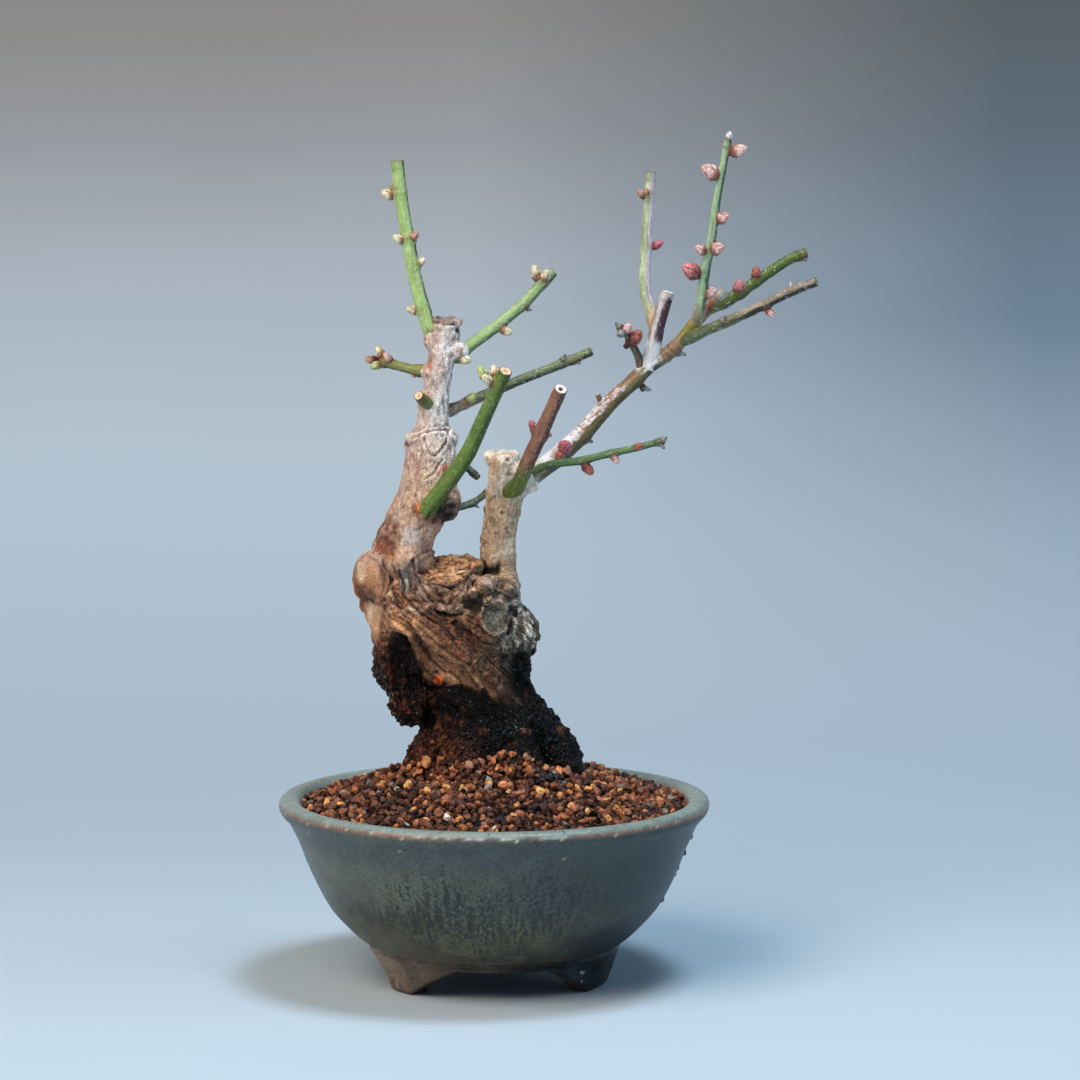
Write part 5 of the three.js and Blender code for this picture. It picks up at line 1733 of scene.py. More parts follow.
def build_mound(material):
    """A dark mound under the grains closes the soil; its dark tone is painted shade, seen in the gaps
    between the grains.
    """
    radii = np.concatenate([np.linspace(0, 50, 26)[1:], [53, SOIL_WALL_RADIUS - 1.2]])
    top = [level_ring(radius, soil_height(radius) - MOUND_SINK) for radius in radii]
    sides = [level_ring(wall_radius(height) - 0.8, height) for height in (42, 30, 20, MOUND_FLOOR)]
    points = np.vstack([*top, *sides, [[0, 0, SOIL_TOP - MOUND_SINK], [0, 0, MOUND_FLOOR]]])
    on_top = points[: len(top) * MOUND_SIDES]
    on_top[:, 2] += 0.5 * noise(on_top, 3, 9)
    rows = len(top) + len(sides)
    upper = fan_faces(0, MOUND_SIDES, len(points) - 2, False)[:, ::-1]
    lower = fan_faces((rows - 1) * MOUND_SIDES, MOUND_SIDES, len(points) - 1, False)
    mound = Shape()
    quads = grid_faces(rows, MOUND_SIDES)[:, ::-1]
    mound.add(points, quads, np.vstack([upper, lower]), even_paint(points, (30, 18, 13), 0.9))
    make_piece("soil_mound", mound.mesh("soil_mound"), material, ["soil"])


def build_grains(random, tree, material, name, gap, sink, small, large):
    """A layer of single grains, clear of the pot's wall and of the wood."""
    place = scattered(random, gap, SOIL_WALL_RADIUS)
    count = len(place)
    half = random.uniform(small, large, count)
    half[random.uniform(size=count) > 0.9] *= 1.25
    reach = np.hypot(place[:, 0], place[:, 1])
    level = soil_height(reach) - sink + random.uniform(-0.5, 0.6, count)
    centres = np.column_stack([place, level])
    keep = (reach + 0.8 * half < wall_radius(level)) & ~inside_tree(tree, centres, 0.1)
    centres, half = centres[keep], half[keep]
    made, triangles = grains(random, centres, half)
    shape = Shape()
    shape.add(made, triangles=triangles, paint=grain_paint(random, len(centres), len(ICO_2[0])))
    if name == "soil_upper_grains":
        add_soil_extras(shape, tree)
    piece = make_piece(name, shape.mesh(name), material, [])
    piece.data.polygons.foreach_set("use_smooth", np.zeros(len(piece.data.polygons), bool))


def build_soil(material, trunk):
    tree = BVHTree.FromObject(trunk, bpy.context.evaluated_depsgraph_get())
    random = np.random.default_rng(2024)
    build_mound(material)
    for layer in GRAIN_LAYERS:
        build_grains(random, tree, material, *layer)


# Stems with their buds, as in the solids: the middle line, the radius at the two ends, forks, and the
# middles of the buds with their length and width. A flat bud is a scar that hugs the stem.
STEMS = {
    "branch_right": dict(
        path=((6.4, 2.2, 148.6), (10.9, 1, 153.4), (19.3, 0.5, 159.8), (27.5, 1, 167.5), (35, 2, 176),
              (41.6, 3, 182), (47, 4, 187), (51.6, 4, 190), (55.5, 4, 193.6), (62, 4, 201.4),
              (69.8, 4, 209.5)),
        radii=(3.1, 1.7),
        forks=((((46, 4, 186), (47.8, 4, 191.5), (49.4, 3, 199.5), (52.3, 2, 209.3)), (2.5, 2.0)),),
        buds=(((21.4, -2.5, 163), (6, 4.6), "magenta"), ((19.9, -3, 160.4), (3.4, 3), "red"),
              ((31.9, 1, 176.4), (5.4, 2.2), "peg"), ((29.1, 1, 164.4), (3.2, 1.8), "thorn"),
              ((46.4, 4.5, 179.9), (4, 2), "thorn"), ((57, 4, 190.5), (3.6, 2), "thorn")),
        look="white_coat"),
    "shoot_left_top": dict(
        path=((-15.5, 0, 194), (-19.3, 0, 198.5), (-21, 0, 204), (-23.8, 0, 214.5), (-25.6, 0, 225),
              (-27.6, 0, 237), (-28.8, 0, 248.6)),
        radii=(2.2, 1.9),
        buds=(((-31.6, 0, 238.6), (4.4, 3), "cream"), ((-28.4, -1.5, 225.3), (4.2, 2.8), "cream"),
              ((-23.9, -1.5, 226), (4, 2.8), "brown"), ((-22, 0, 218.3), (3.8, 2.7), "cream"),
              ((-24.4, 0, 204), (4, 2.8), "cream"), ((-30, 0.5, 240.2), (2.8, 2), "brown", "flat")),
        look="top_green"),
    "shoot_left_upper_right": dict(
        path=((-15, 0, 189), (-10.7, 0, 190.6), (-7, 1, 193.4), (1, 2, 199.2), (9, 4, 205.8),
              (14, 5, 211.1), (17.9, 6, 215.2)),
        radii=(1.9, 1.6),
        buds=(((12.6, 4, 214.9), (5.2, 3.1), "cream"), ((15.6, 3, 214.2), (4.8, 3), "cream"),
              ((3.8, 1, 197.6), (4, 2.8), "cream"), ((-8.8, -1.5, 189.3), (4.6, 3.2), "cream"),
              ((11, 3.5, 203.9), (1.8, 1.4), "thorn")),
        look="pale_green"),
    "shoot_left_side": dict(
        path=((-17, 0, 185), (-20.5, 1, 185.6), (-24.6, 2, 186.1), (-29.8, 4, 187.2), (-34, 6, 188.2)),
        radii=(1.6, 1.3),
        buds=(((-34.4, 5.5, 191), (4.4, 2.8), "cream"), ((-35.6, 4, 187), (4, 2.6), "green"),
              ((-37, 7, 188.6), (4.2, 2.8), "brown"), ((-32, 3, 189.6), (3.8, 2.6), "pink"),
              ((-24, 1.5, 184.3), (1.6, 1.6), "brown")),
        look="olive"),
    "stub_left": dict(
        path=((-17.5, -1, 175), (-20, -3.5, 176.3), (-22.4, -7.5, 178.8)), radii=(1.8, 1.5), buds=(),
        look="small_stub"),
    "shoot_left_back": dict(
        path=((-17.5, 1, 172.4), (-14.4, 3, 173.2), (-7.3, 7, 176), (1.8, 12, 179.7), (11, 16, 183.2),
              (20, 20, 186.4), (29.6, 23, 190.3)),
        radii=(1.7, 1.4),
        buds=(((-7, 4.6, 177.2), (4.4, 3), "green"), ((21.4, 19, 189), (3, 1.8), "thorn"),
              ((25.6, 21, 187), (3, 1.8), "thorn")),
        look="grey_green"),
    "shoot_left_front": dict(
        path=((-21, -2, 143.8), (-19.4, -8, 145.6), (-14.2, -14, 152.6), (-7.8, -20, 162),
              (-2.8, -27, 173), (1.3, -33, 182.2), (3.9, -37, 188)),
        radii=(2.7, 2),
        buds=(((-2.8, -32, 187), (4.8, 3), "green"), ((-1.4, -35.5, 185.2), (4.6, 2.9), "cream"),
              ((0.6, -31, 187.4), (4.2, 2.8), "cream"), ((-14.2, -15.5, 157.4), (3, 2), "red")),
        look="front_green"),
    "twig_back_upper": dict(
        path=((-19, 2, 160.4), (-13.8, 6.5, 160.4), (-8.6, 9, 156), (-5, 11, 152.4)), radii=(1.3, 1),
        buds=(((-5, 9.6, 153.4), (2.4, 2), "thorn"),),
        look="bumpy_twig"),
    "twig_back_lower": dict(
        path=((-21, 2, 143.8), (-14.5, 6, 143.4), (-9.8, 8.5, 144), (-6.2, 10.2, 145.2),
              (-2.9, 11.9, 147.2)),
        radii=(1.3, 1),
        buds=(((-2.2, 12, 148.2), (2.8, 2.2), "brown"), ((-5.2, 10.2, 143.8), (2.4, 1.4), "thorn")),
        look="bumpy_twig"),
    "shoot_right_front": dict(
        path=((4, -3.4, 149.4), (6.9, -8, 151.6), (9.9, -14, 158.6), (14.2, -21, 168.6), (17.8, -27, 177),
              (20, -31.5, 182.4)),
        radii=(2.4, 2),
        buds=(((12, -19.5, 170.2), (4.6, 3.2), "magenta"), ((16.2, -21, 168), (2.6, 1.8), "brown")),
        look="red_brown"),
    "shoot_right_side": dict(
        path=((11.4, -0.5, 154.2), (13.4, -5.5, 156.6), (17.5, -10, 158.4), (25.8, -14, 159.8),
              (34.7, -17, 162.2), (43.5, -20, 164.4), (50.4, -22, 166.5)),
        radii=(1.3, 0.95),
        buds=(((28.2, -15, 157.4), (4.4, 3), "red"), ((36.3, -18, 160.6), (3.6, 2.4), "pink"),
              ((43, -21.2, 164.6), (3.4, 2.4), "red"), ((50.9, -23, 167.2), (2.6, 1.7), "thorn"),
              ((50.2, -22.2, 164.6), (3, 1.7), "thorn")),
        look="side_green"),
    "spur_right": dict(
        path=((44.5, 3.4, 184.8), (43.6, 2.5, 189.5), (41.8, 0, 193.2), (39.6, -2.8, 197),
              (37.6, -4.6, 199.2)),
        radii=(1.3, 1),
        buds=(((42.3, -1.5, 195.8), (6, 4), "red"), ((39.9, -4.6, 198.7), (4.6, 3.2), "pink"),
              ((36.8, -5.3, 200), (2.8, 1.8), "thorn"), ((37.6, -6.8, 196.9), (4, 2.2), "thorn")),
        look="spur"),
    "shoot_right_upright": dict(
        path=((48.8, 4.2, 196.5), (47.8, 7.6, 202.4), (46.2, 9, 207), (45.5, 10, 212.6), (46, 12, 221.6),
              (46.6, 13, 232), (47.5, 14, 245)),
        radii=(1.9, 1.5),
        buds=(((44.6, 12, 238.5), (3.6, 2.4), "brown"), ((49.5, 11.5, 223.2), (4, 2.8), "magenta"),
              ((46.2, 11.8, 239), (3, 2), "brown", "flat")),
        look="two_sided"),
    "shoot_right_buds": dict(
        path=((61, 4, 200), (62, -1.5, 205.6), (63.2, -5, 216), (64.9, -8, 225.3), (66.1, -10, 235.6),
              (67.9, -12, 246), (69.4, -13, 255)),
        radii=(1.7, 1),
        buds=(((72.6, -13.5, 251.7), (5.4, 4.2), "pink"), ((64.2, -12.5, 245.5), (6.2, 4.6), "pink"),
              ((68.2, -10, 231.9), (4.6, 4), "pink"), ((61.7, -8.5, 222.4), (4.2, 3.4), "pink"),
              ((66.7, -9, 222.8), (5, 4.2), "pink"), ((58.9, -6, 216), (6.4, 5), "rose"),
              ((64.6, -3, 209.4), (4.8, 4), "pink"), ((69.8, -13, 256), (2.9, 2.2), "white")),
        look="blue_green"),
    "shoot_right_green": dict(
        path=((65, 4, 204.2), (71, 5, 207), (76.6, 7, 210.5), (83.3, 9, 215), (89.4, 11, 218.8),
              (94.6, 12, 220.8)),
        radii=(1.8, 1.5),
        buds=(((73.9, 4.5, 211.1), (4.4, 3.8), "rose"), ((79.1, 7, 214.9), (3.8, 3), "red"),
              ((94, 11.2, 218.8), (2.6, 2.2), "thorn"), ((75.8, 6.6, 208.4), (1.8, 1.8), "thorn")),
        look="olive_green"),
    "shoot_right_dark": dict(
        path=((56, 4, 194), (62.6, 0, 197.4), (71.3, -4, 201.3), (79.4, -8, 205.3), (88, -12, 209.8),
              (95.8, -15, 213)),
        radii=(1.7, 1.35),
        buds=(((82.6, -9, 203.4), (3.6, 2.6), "pink"), ((88.3, -12.8, 211.6), (2.8, 1.5), "white"),
              ((69, -5, 201.8), (3, 2), "thorn", "flat")),
        look="dark_shoot"),
}

# Skins of the stems: the main tone, a second tone on the side that faces a direction, how much of the
# side it takes, the flecks, the tone near the root and the share of the length that it takes. On most
# stems the second tone is darker and lies on the lower or right side, as painted shade; on top_green it
# is a purple-grey of the bark, darkened as painted shade, and on small_stub, two_sided and purple_stub
# it is a second colour of the bark.
STEM_LOOKS = {
    "front_green": dict(skin=(104, 132, 48), second=(64, 88, 32), side=(0.8, 0.1, -0.6), take=0.42,
                        root=(128, 112, 60), root_share=0.05, streak=0.34, pores=0.55, cut="tan"),
    "top_green": dict(skin=(174, 206, 130), second=(92, 66, 66), side=(1, 0, 0.1), take=0.2,
                      root=(116, 138, 62), root_share=0.08, streak=0.3, pores=0.9, cut="tan"),
    "pale_green": dict(skin=(152, 184, 124), second=(92, 124, 66), side=(0.5, 0, -0.85), take=0.36,
                       root=(140, 116, 88), root_share=0.05, streak=0.32, pores=1.0, cut="dull"),
    "side_green": dict(skin=(94, 128, 80), second=(54, 80, 50), side=(0.3, 0, -1), take=0.36,
                       root=(96, 106, 62), root_share=0.1, streak=0.3, pores=0.6, cut="dull"),
    "olive_green": dict(skin=(94, 114, 44), second=(56, 72, 32), side=(0.4, 0, -1), take=0.42,
                        root=(118, 124, 70), root_share=0.1, streak=0.36, pores=0.8, cut="pith"),
    "olive": dict(skin=(136, 144, 78), second=(84, 84, 44), side=(0.2, 0, -1), take=0.4,
                  root=(150, 112, 84), root_share=0.14, streak=0.36, pores=0.8, cut="dull"),
    "small_stub": dict(skin=(142, 100, 72), second=(104, 122, 60), side=(0.7, -0.2, -0.7), take=0.35,
                       root=(160, 140, 126), root_share=0.2, streak=0.3, pores=0.2, cut="tan"),
    "grey_green": dict(skin=(122, 134, 92), second=(58, 64, 44), side=(0.3, 0, -1), take=0.46,
                       root=(142, 122, 104), root_share=0.3, streak=0.5, pores=0.9, cut="dull"),
    "bumpy_twig": dict(skin=(104, 122, 102), second=(52, 60, 48), side=(0, 0, -1), take=0.42,
                       root=(96, 92, 78), root_share=0.2, streak=0.4, pores=0.6, cut="dull"),
    "red_brown": dict(skin=(164, 112, 88), second=(88, 50, 40), side=(0.9, 0, -0.4), take=0.42,
                      root=(96, 114, 44), root_share=0.34, streak=0.55, pores=0.4, cut="pith"),
    "white_coat": dict(skin=(124, 120, 58), second=(74, 66, 38), side=(0.6, 0, -0.8), take=0.4,
                       root=(208, 202, 196), root_share=0.1, streak=0.4, pores=0.3, cut="pith"),
    "spur": dict(skin=(92, 100, 54), second=(60, 48, 40), side=(1, 0, 0), take=0.42,
                 root=(110, 84, 60), root_share=0.25, streak=0.4, pores=0.3, cut="dull"),
    "two_sided": dict(skin=(178, 192, 156), second=(206, 190, 202), side=(1, 0, 0.1), take=0.5,
                      root=(176, 158, 124), root_share=0.16, streak=0.42, pores=1.0, cut="dull"),
    "blue_green": dict(skin=(166, 200, 158), second=(78, 104, 72), side=(1, 0, -0.2), take=0.4,
                       root=(170, 160, 132), root_share=0.12, streak=0.34, pores=1.2, cut="dull"),
    "dark_shoot": dict(skin=(156, 144, 128), second=(46, 40, 33), side=(0.3, 0.2, -1), take=0.66,
                       root=(96, 108, 74), root_share=0.45, streak=0.6, pores=0.8, cut="dull"),
    "purple_stub": dict(skin=(222, 216, 224), second=(84, 58, 72), side=(0.9, -0.35, -0.2), take=0.46,
                        root=(226, 226, 228), root_share=0.3, streak=0.36, pores=0.5, cut="pith"),
}

BUD_TONES = {
    # outer scales, inner scales, rim of a scale, tip
    "pink": ((132, 62, 42), (250, 196, 188), (255, 248, 240), (255, 214, 214)),
    "magenta": ((112, 42, 34), (202, 92, 108), (250, 216, 212), (228, 128, 146)),
    "rose": ((116, 46, 36), (232, 134, 134), (254, 226, 218), (244, 170, 172)),
    "cream": ((142, 80, 48), (248, 228, 190), (255, 252, 240), (240, 244, 204)),
    "green": ((142, 92, 56), (204, 220, 146), (246, 248, 214), (190, 218, 130)),
    "brown": ((90, 46, 34), (196, 144, 112), (246, 222, 196), (214, 166, 140)),
    "red": ((92, 38, 30), (186, 92, 76), (242, 202, 180), (198, 116, 104)),
    "white": ((170, 158, 152), (226, 222, 222), (246, 244, 244), (206, 200, 200)),
    "peg": ((120, 96, 70), (124, 104, 76), (214, 204, 186), (132, 116, 92)),
    "thorn": ((96, 92, 84), (150, 148, 146), (206, 206, 206), (86, 84, 82)),
}


CUT_TONES = {
    "tan": ((128, 80, 50), (232, 206, 172), (206, 168, 128)),
    "pith": ((150, 126, 104), (240, 236, 230), (52, 40, 34)),
    "dull": ((110, 96, 74), (158, 154, 118), (96, 84, 64)),
}


# Wider buds have more scales and a finer mesh.
LARGE_BUD_WIDTH = 3.3


def bud_places(centre, tangents, item):
    """Foot of a bud's neck on the middle line, its direction, its start and the length of its neck."""
    middle = np.array(item[0], float)
    distance = np.linalg.norm(centre - middle, axis=1)
    nearest = int(np.argmin(distance))
    lean = 1.2 if len(item) > 3 else 0.55
    direction = unit(unit(middle - centre[nearest]) + lean * tangents[nearest])
    start = middle - 0.5 * item[1][0] * direction
    return nearest, direction, start, 0.8 * np.linalg.norm(start - centre[nearest])


def bud_profile(kind, t):
    """Half width of a bud over its length, as a share of its width."""
    t = np.clip(t, 0, 1)
    if kind == "peg":
        ring = 0.14 * bell(t, 0.28, 0.07)
        return (0.4 + ring) * np.sqrt(np.clip(1 - np.clip((t - 0.88) / 0.12, 0, 1) ** 2, 0, 1))
    if kind == "thorn":
        return 0.62 * (1 - t**1.5) ** 0.7 * (1 + 0.15 * np.sin(9 * t))
    low = 0.5 * np.sqrt(np.clip(1 - ((0.44 - t) / 0.54) ** 2, 0, 1))
    power, root = (2.4, 0.5) if kind in ("cream", "brown", "green", "red") else (2.1, 0.62)
    high = 0.5 * (1 - np.clip((t - 0.44) / 0.56, 0, 1) ** power) ** root
    return np.where(t < 0.44, low, high)


def scaly_bud(kind, large, t, angle, random, seed):
    """Colour of a bud with overlapping scales, the outer ones lowest, and how far they raise its skin."""
    outer, inner, edge, tip = (tone(*shade) for shade in BUD_TONES[kind])
    size = (len(t), angle.shape[1])
    layers = np.zeros(size)
    color = np.tile(mix(inner, tip, 0.5), (*size, 1))
    count = 10 if large else 8
    for i in range(count - 1, -1, -1):
        rise = i / (count - 1)
        middle = math.radians(137.5 * i + random.uniform(-14, 14))
        low = -0.15 + 0.38 * rise
        high = 0.3 + 0.66 * rise + random.uniform(-0.05, 0.05)
        away = np.abs((angle - middle + math.pi) % (2 * math.pi) - math.pi)
        up = np.clip((t - low) / (high - low), 0, 1.2)
        reach = 1.15 * np.sqrt(np.clip(1 - up**2.2, 0, 1)) - away
        cover = smooth_step(-0.04, 0.14, reach) * (t > low)
        layers += cover * 0.034
        shade = mix(outer, inner, smooth_step(0.05, 0.38, np.array(rise + 0.1 * random.uniform(-1, 1))))
        shade = mix(shade, outer, 0.85 * smooth_step(0.6, 0.26, t + 0.12 * np.cos(angle + seed))[..., None])
        shade = shade * (0.62 + 0.55 * up[..., None]) * random.uniform(0.8, 1.2)
        shade = mix(shade, tip, 0.5 * smooth_step(0.65, 1.0, up)[..., None] * rise)
        rim = cover * (1 - smooth_step(0.03, 0.26, reach))
        # Painted shadow: a dark line just past each scale's rim, on the scale beneath.
        under = band(reach, -0.2, -0.03, -0.03, 0.05) * (t > low)
        color = color * (1 - 0.85 * under)[..., None]
        color = color + (shade - color) * cover[..., None]
        color = color + (edge - color) * (0.85 * rim * (0.2 + 0.8 * rise))[..., None]
    return color, layers


def bare_bud(kind, t, angle):
    """Colour of a peg, which has a ring and a light top, or of a thorn, which has a light tip."""
    outer, inner, edge, tip = (tone(*shade) for shade in BUD_TONES[kind])
    size = (len(t), angle.shape[1])
    around = np.ones_like(angle)
    rise = t if kind == "peg" else smooth_step(0.1, 0.5, t)
    color = mix(outer, inner, rise[..., None]) * np.ones((*size, 1))
    if kind == "peg":
        color = lay(color, edge, bell(t, 0.28, 0.07) * around)
        color = lay(color, edge, smooth_step(0.93, 0.99, t) * around)
    else:
        color = lay(color, tip, smooth_step(0.7, 0.95, t) * around)
    return color, np.zeros(size)


def add_bud(shape, item, place, seed):
    """A closed bud on its neck, bent and a little uneven."""
    _, direction, start, neck = place
    length, width = item[1]
    kind = item[2]
    if kind == "thorn":
        length = 0.8 * length
    if kind in ("pink", "rose", "magenta"):
        width = 0.9 * width
    random = np.random.default_rng(seed)
    large = width > LARGE_BUD_WIDTH
    sides = 34 if large else 26
    body = 1 - (1 - np.linspace(0, 1, sides)) ** 1.5
    t = np.concatenate([np.linspace(-neck / length, 0, 6)[:-1], body])[:, None]
    angle = np.linspace(0, 2 * math.pi, sides, endpoint=False)[None, :]
    if kind in ("peg", "thorn"):
        color, layers = bare_bud(kind, t, angle)
    else:
        color, layers = scaly_bud(kind, large, t, angle, random, seed)
    foot = bell(t, -0.02, 0.1) + smooth_step(0.0, -0.06, t)
    foot_tone = tone(*BUD_TONES[kind][0]) * 0.62
    color = color + (foot_tone - color) * np.clip(foot, 0, 0.9)[..., None]
    profile = bud_profile(kind, t)
    neck_width = 0.2 + 0.08 * np.exp(t / 0.1)
    body_width = np.maximum(profile * 0.9, 0.2 * (t < 0.2))
    radius = width * np.where(t < 0, neck_width, body_width)
    radius = radius + width * layers * np.sqrt(np.clip(profile * 2, 0, 1)) * (t > 0)
    side = unit(np.cross(direction, (0.3, 0.9, 0.2)))
    other = np.cross(direction, side)
    ring = side * np.cos(angle)[..., None] + other * np.sin(angle)[..., None]
    bend = 0.06 * length * random.uniform(-1, 1, 3)
    points = start + t[..., None] * length * direction + radius[..., None] * ring
    share = np.clip(t, 0, 1)[..., None]
    points = points + bend * (share - share**2)
    uneven = 0.02 * width * noise(points, 0.3 * width, seed)
    points = points + uneven[..., None] * ring
    color = color * (1 + 0.12 * noise(points, 0.45, seed + 1))[..., None]
    points = np.vstack([
        points.reshape(-1, 3),
        start - neck * direction,
        start + 0.998 * length * direction,
    ])
    color = np.vstack([np.clip(color.reshape(-1, 3), 0.003, 1), color[0, :1], color[-1, :1]])
    rows = len(t)
    shape.add(points, grid_faces(rows, sides), end_fans(rows, sides, len(points)), colored(color, 0.42))


ROUGH_BARK = {
    "bumpy_twig": 0.24,
    "white_coat": 0.14,
    "dark_shoot": 0.12,
    "red_brown": 0.13,
    "purple_stub": 0.12,
    "grey_green": 0.1,
}


def swell_at_buds(radius, centre, length, ring, items, places):
    """Raises the radius below each bud, and gives the marks of the nodes."""
    rows = len(centre)
    nodes = np.zeros_like(radius)
    for item, place in zip(items, places):
        along = (np.arange(rows)[:, None] - place[0]) * length / (rows - 1)
        towards = unit(np.array(item[0]) - centre[place[0]])
        facing = np.clip(np.einsum("rsi,i->rs", ring, towards), 0, 1)
        radius += (0.2 * item[1][1] * facing**2 + 0.06) * bell(along, -0.5, 1.5)
        radius += 0.12 * bell(along, -1.6, 0.35)
        nodes = np.maximum(nodes, bell(along, -0.3, 1.3) * (0.25 + 0.75 * facing))
    return nodes


def cut_end(end, direction, radius, ring, cut, seed):
    """Rings of points and tones over a cut end, then its middle: a thin rim of bark, wood and pith."""
    bark_rim, wood, pith = (tone(*shade) for shade in CUT_TONES[cut])
    hole = 0.5 if cut == "pith" else 0.08
    steps = (
        # share of the radius, height over the rim's foot, and the tone
        (0.99, 0.12, bark_rim * 0.8),
        (0.9, 0.24, bark_rim),
        (0.8, 0.18, wood),
        (0.55, 0.12, wood),
        (0.36, 0.06, mix(wood, pith, 0.4)),
        (0.24, 0.02 - 0.5 * hole, pith),
        (0.08, -hole, pith * 0.7),
    )
    tip = []
    tip_color = []
    for reach, lift, shade in steps:
        level = end + direction * (lift - 0.2)
        edge = level + (radius * reach)[:, None] * ring
        tip.append(edge + direction * (0.12 * noise(edge, 0.8, seed + 6))[:, None])
        tip_color.append(np.tile(shade, (len(ring), 1)) * (1 + 0.25 * noise(edge, 0.6, seed))[:, None])
    return tip, tip_color, end - (0.2 + hole) * direction, pith * 0.6


def bark_growth(count, radius, angle, share, length, skin, bare, seed):
    """Places round and along a stem, then how streaked its bark is and how full of pores."""
    growth = np.zeros((count, 5))
    on_bark = bare.size
    rows = np.ones_like(share)
    around = radius * np.stack([np.cos(angle) * rows, np.sin(angle) * rows], axis=-1)
    growth[:on_bark, :2] = around.reshape(-1, 2) + seed * 3.7
    growth[:on_bark, 2] = (share * length * np.ones_like(angle)).ravel()
    growth[:on_bark, 3] = skin["streak"]
    growth[:on_bark, 4] = (skin["pores"] * bare).ravel()
    return growth


def add_stem(shape, path, radii, look, items, seed, fork=False):
    """A stem with its nodes, bark and cut end, and its buds."""
    skin = STEM_LOOKS[look]
    centre, length = curve_through(path, 0.5)
    tangents, side, other = frames_along(centre)
    rows, sides = len(centre), 48 if radii[0] > 2.6 else 32
    share = np.linspace(0, 1, rows)[:, None]
    angle = np.linspace(0, 2 * math.pi, sides, endpoint=False)[None, :]
    ring = side[:, None] * np.cos(angle)[..., None] + other[:, None] * np.sin(angle)[..., None]
    base = mix(radii[0], radii[1], share) * np.ones_like(angle)
    skin_points = centre[:, None] + base[..., None] * ring
    radius = base + ROUGH_BARK.get(look, 0.06) * layered_noise(skin_points, 1.9, seed)
    radius += 0.05 * noise(skin_points, 0.8, seed + 5)
    radius += 0.35 * bell(share * length, 5.0, 2.2) * (0.5 if fork else 1.0) * (radii[0] > 1.5)
    places = [bud_places(centre, tangents, item) for item in items]
    nodes = swell_at_buds(radius, centre, length, ring, items, places)
    color, rough, raised = stem_paint(skin_points, ring, share, length, skin, look, seed)
    color = lay(color, tone(118, 82, 58), 0.62 * nodes)
    color = color * (1 - 0.35 * bell(share * length - length, -2.5, 0.5))[..., None]
    radius = radius + raised
    points = centre[:, None] + radius[..., None] * ring
    end, direction = centre[-1], tangents[-1]
    tip, tip_color, middle, middle_color = cut_end(end, direction, radius[-1], ring[-1], skin["cut"], seed)
    points[-1] = end - 0.2 * direction + radius[-1][:, None] * ring[-1]
    points = np.vstack([points.reshape(-1, 3), *tip, centre[:1], middle[None]])
    color = np.vstack([color.reshape(-1, 3), *tip_color, color[0, :1], middle_color[None]])
    rough = np.concatenate([rough.ravel(), np.full(len(tip) * sides + 2, 0.7)])
    bare = (1 - np.clip(nodes, 0, 1)) * (raised < 0.05)
    growth = bark_growth(len(points), radii[0], angle, share, length, skin, bare, seed)
    count = rows + len(tip)
    paint = colored(np.clip(color, 0.004, 1), rough)
    shape.add(points, grid_faces(count, sides), end_fans(count, sides, len(points)), paint, growth)
    for i, (item, place) in enumerate(zip(items, places)):
        add_bud(shape, item, place, seed * 31 + i)


def coat_paint(color, share, along, facing, patch, fine):
    """The long branch: white powder on its upper side, a brown seam, joints, and ringed young bark."""
    upper = facing + 0.4 * patch + 0.16 * fine
    lower_part = smooth_step(0.1, 0.14, share) * (1 - smooth_step(0.5, 0.56, share + 0.02 * patch))
    second_part = smooth_step(0.585, 0.6, share) * (1 - smooth_step(0.66, 0.7, share + 0.02 * patch))
    coat = lower_part * smooth_step(0.2, 0.32, upper) + second_part * smooth_step(-0.1, 0.05, upper)
    coat = coat * smooth_step(-0.75, -0.35, fine + patch)
    speckled = band(share, 0.26, 0.32, 0.66, 0.72)
    coat = coat * (1 - speckled * smooth_step(0.0, 0.3, fine + 0.3 * patch))
    color = lay(color, tone(168, 128, 112), lower_part * smooth_step(0.2, 0.32, upper))
    seam = lower_part * smooth_step(0.0, 0.12, upper) * (1 - smooth_step(0.2, 0.34, upper))
    color = lay(color, tone(112, 78, 56), 0.8 * seam)
    color = lay(color, tone(150, 118, 92), band(share, 0.48, 0.56, 0.6, 0.66)
                * smooth_step(-0.1, 0.3, upper) * 0.8)
    color = lay(color, tone(148, 120, 92), band(share, 0.66, 0.69, 0.76, 0.8) * 0.8)
    color = lay(color, tone(132, 124, 54), band(share, 0.78, 0.81, 0.85, 0.9))
    young = smooth_step(0.83, 0.88, share + 0.02 * patch)
    color = lay(color, tone(176, 146, 112), young)
    rings = smooth_step(0.35, 0.75, np.cos(along * 3.4 + 1.5 * patch))
    ringed = np.maximum(young, band(share, 0.66, 0.68, 0.74, 0.76))
    color = lay(color, tone(104, 72, 52), ringed * rings * 0.75)
    color = lay(color, tone(216, 210, 200), smooth_step(0.955, 0.97, share + 0.01 * patch))
    color = lay(color, tone(236, 238, 242), np.clip(coat, 0, 1))
    return color, np.clip(coat, 0, 1)


